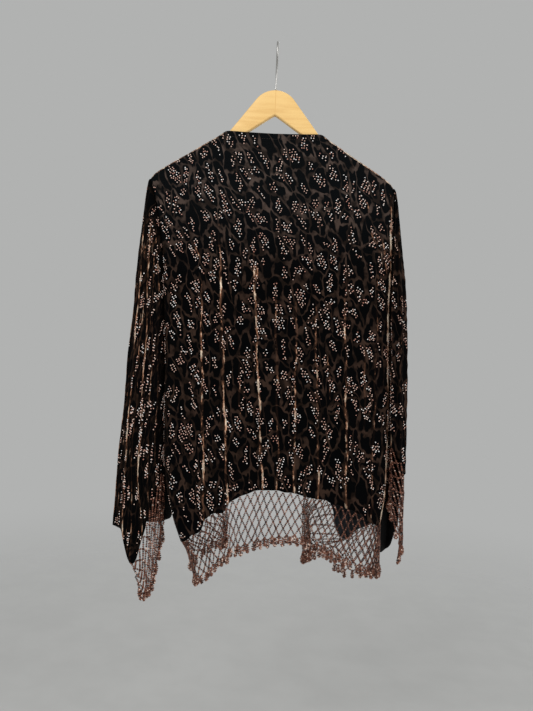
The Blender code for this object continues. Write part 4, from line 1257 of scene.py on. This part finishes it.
def hung_sheet(name, node, net, cloth, inside, lean=0.0, share=DOTTED, also=(), **cut):
    """A sheet of velvet with its dots, other pieces on it and its net. cut is not used."""
    flip = name.endswith("left")
    flat = flat_lengths(cloth[0], lean) + CUT_FROM[name]
    sheet = settle(cloth_piece(f"velvet_{name}", cloth, flat, flip, inside), "velvet", node)
    dots = dots_piece(f"dots_{name}", cloth[0], flat, flip, share)
    on_it = [dots, *(make(cloth[0]) for make in also), bpy.data.objects[net]]


class JACKET_OT_fringe(bpy.types.Operator):
    """Makes the beaded nets of the hem and of the sleeve openings"""

    bl_idname = "jacket.fringe"
    bl_label = "Beaded fringe"

    def execute(self, context):
        net_piece("back", back_cloth()[0][-1])
        for name in SIDES:
            net_piece(f"front_{name}", front_cloth(name)[0][-1])
            start, end = CUFF_NET[name]
            net_piece(f"cuff_{name}", sleeve_cloth(name)[0][-1][start:end + 1])
        return {"FINISHED"}


class JACKET_OT_body(bpy.types.Operator):
    """Makes the velvet back and the two fronts with their dots and the stitched neck. The nets come first"""

    bl_idname = "jacket.body"
    bl_label = "Back and fronts"

    def execute(self, context):
        inside = material("body_wrong_side", wrong_side, "wrong_side", Specular_IOR_Level=0.15)
        hung_sheet("back", "back_panel", "net_back", back_cloth(), inside, lean=BACK_LEAN,
                   also=[stitches_piece], flat=(0.51, 0.76), rests_on=["hanger_wood"], area=0.30)
        for name in SIDES:
            hung_sheet(f"front_{name}", f"front_panel_{name}", f"net_front_{name}", front_cloth(name), inside,
                       flat=(0.18, 0.75), rests_on=["hanger_wood"], area=0.10)
        return {"FINISHED"}


class JACKET_OT_sleeves(bpy.types.Operator):
    """Makes the two velvet sleeves with their dots. The nets come first"""

    bl_idname = "jacket.sleeves"
    bl_label = "Sleeves"

    def execute(self, context):
        # Painted shade: the sleeves' inner face is painted darker than the body's, as the shade inside them.
        inside = material("sleeve_wrong_side", wrong_side, "sleeve_inside", Specular_IOR_Level=0.15)
        for name in SIDES:
            hung_sheet(f"sleeve_{name}", f"sleeve_{name}", f"net_cuff_{name}", sleeve_cloth(name), inside,
                       share=DOTTED_SLEEVE, flat=(0.20, 0.70), rests_on=["velvet_back"], area=0.11)
        return {"FINISHED"}


class JACKET_OT_hanger(bpy.types.Operator):
    """Makes the wooden hanger and its wire hook"""

    bl_idname = "jacket.hanger"
    bl_label = "Hanger"

    def execute(self, context):
        wood = material("varnished_wood", varnished, Coat_Weight=0.05, Coat_Roughness=0.3,
                        Specular_IOR_Level=0.25)
        settle(closed_tube("wooden_hanger", hanger_rings(), wood), "wood", "hanger_wood")
        wire = material("bright_wire", streaked, "wire", (900.0, 900.0, 60.0), 2.0, (0.3, 0.8, 0.75, 1.1),
                        (0.25, 0.75, 0.24, 0.42), 0.08, 0.0001, Metallic=1.0)
        settle(closed_tube("wire_hook", hook_rings(), wire), "steel", "hanger_hook")
        return {"FINISHED"}


class JACKET_OT_stage(bpy.types.Operator):
    """Makes the floor, the lights, the pale surroundings and the camera"""

    bl_idname = "jacket.stage"
    bl_label = "Stage"

    def execute(self, context):
        scene = context.scene
        scene.view_settings.view_transform = "Standard"
        corners = np.array([[-1, -1], [1, -1], [1, 1], [-1, 1]]) * FLOOR_HALF
        corners = np.column_stack([corners, np.full(4, FLOOR_LEVEL)])
        finish = material("pale_floor", pale_ground, Roughness=0.9)
        new_piece("floor", corners, np.arange(4)[None], finish)
        scene.world = bpy.data.worlds.new("pale_room")
        scene.world.use_nodes = True
        scene.world.node_tree.nodes["Background"].inputs["Color"].default_value = tint("room")
        for name, (place, power, size) in LAMPS.items():
            light = bpy.data.lights.new(name, "AREA")
            light.energy = power
            light.size = size
            lamp = bpy.data.objects.new(name, light)
            lamp.location = place
            lamp.rotation_euler = (LAMPS_AIM - Vector(place)).to_track_quat("-Z", "Y").to_euler()
            scene.collection.objects.link(lamp)
        camera = bpy.data.cameras.new("camera")
        camera.sensor_width = CAMERA_SENSOR
        camera.lens = CAMERA_LENS
        seen = bpy.data.objects.new("camera", camera)
        level_view = Matrix.Translation(CAMERA_PLACE) @ Matrix.Rotation(np.radians(90.0), 4, "X")
        seen.matrix_world = level_view @ Matrix.Rotation(np.radians(CAMERA_ROLL), 4, "Z")
        scene.collection.objects.link(seen)
        scene.camera = seen
        return {"FINISHED"}


class JACKET_PT_pieces(bpy.types.Panel):
    """Lists the pieces, their sizes and their colours"""

    bl_idname = "JACKET_PT_pieces"
    bl_label = "Velvet jacket"
    bl_space_type = "VIEW_3D"
    bl_region_type = "UI"
    bl_category = "Jacket"

    def draw(self, context):
        for operator in OPERATORS:
            self.layout.operator(operator.bl_idname)
        for group in (context.scene.jacket_sizes, context.scene.jacket_colours):
            box = self.layout.box()
            for name in group.__annotations__:
                box.prop(group, name)


OPERATORS = (JACKET_OT_stage, JACKET_OT_hanger, JACKET_OT_fringe, JACKET_OT_body, JACKET_OT_sleeves)
CLASSES = (JacketSizes, JacketColours, *OPERATORS, JACKET_PT_pieces)


def register():
    for cls in CLASSES:
        bpy.utils.register_class(cls)
    bpy.types.Scene.jacket_sizes = PointerProperty(type=JacketSizes)
    bpy.types.Scene.jacket_colours = PointerProperty(type=JacketColours)


def unregister():
    del bpy.types.Scene.jacket_colours
    del bpy.types.Scene.jacket_sizes
    for cls in reversed(CLASSES):
        bpy.utils.unregister_class(cls)


def main():
    register()
    bpy.ops.jacket.stage()
    bpy.ops.jacket.hanger()
    bpy.ops.jacket.fringe()
    bpy.ops.jacket.body()
    bpy.ops.jacket.sleeves()


if __name__ == "__main__":
    main()
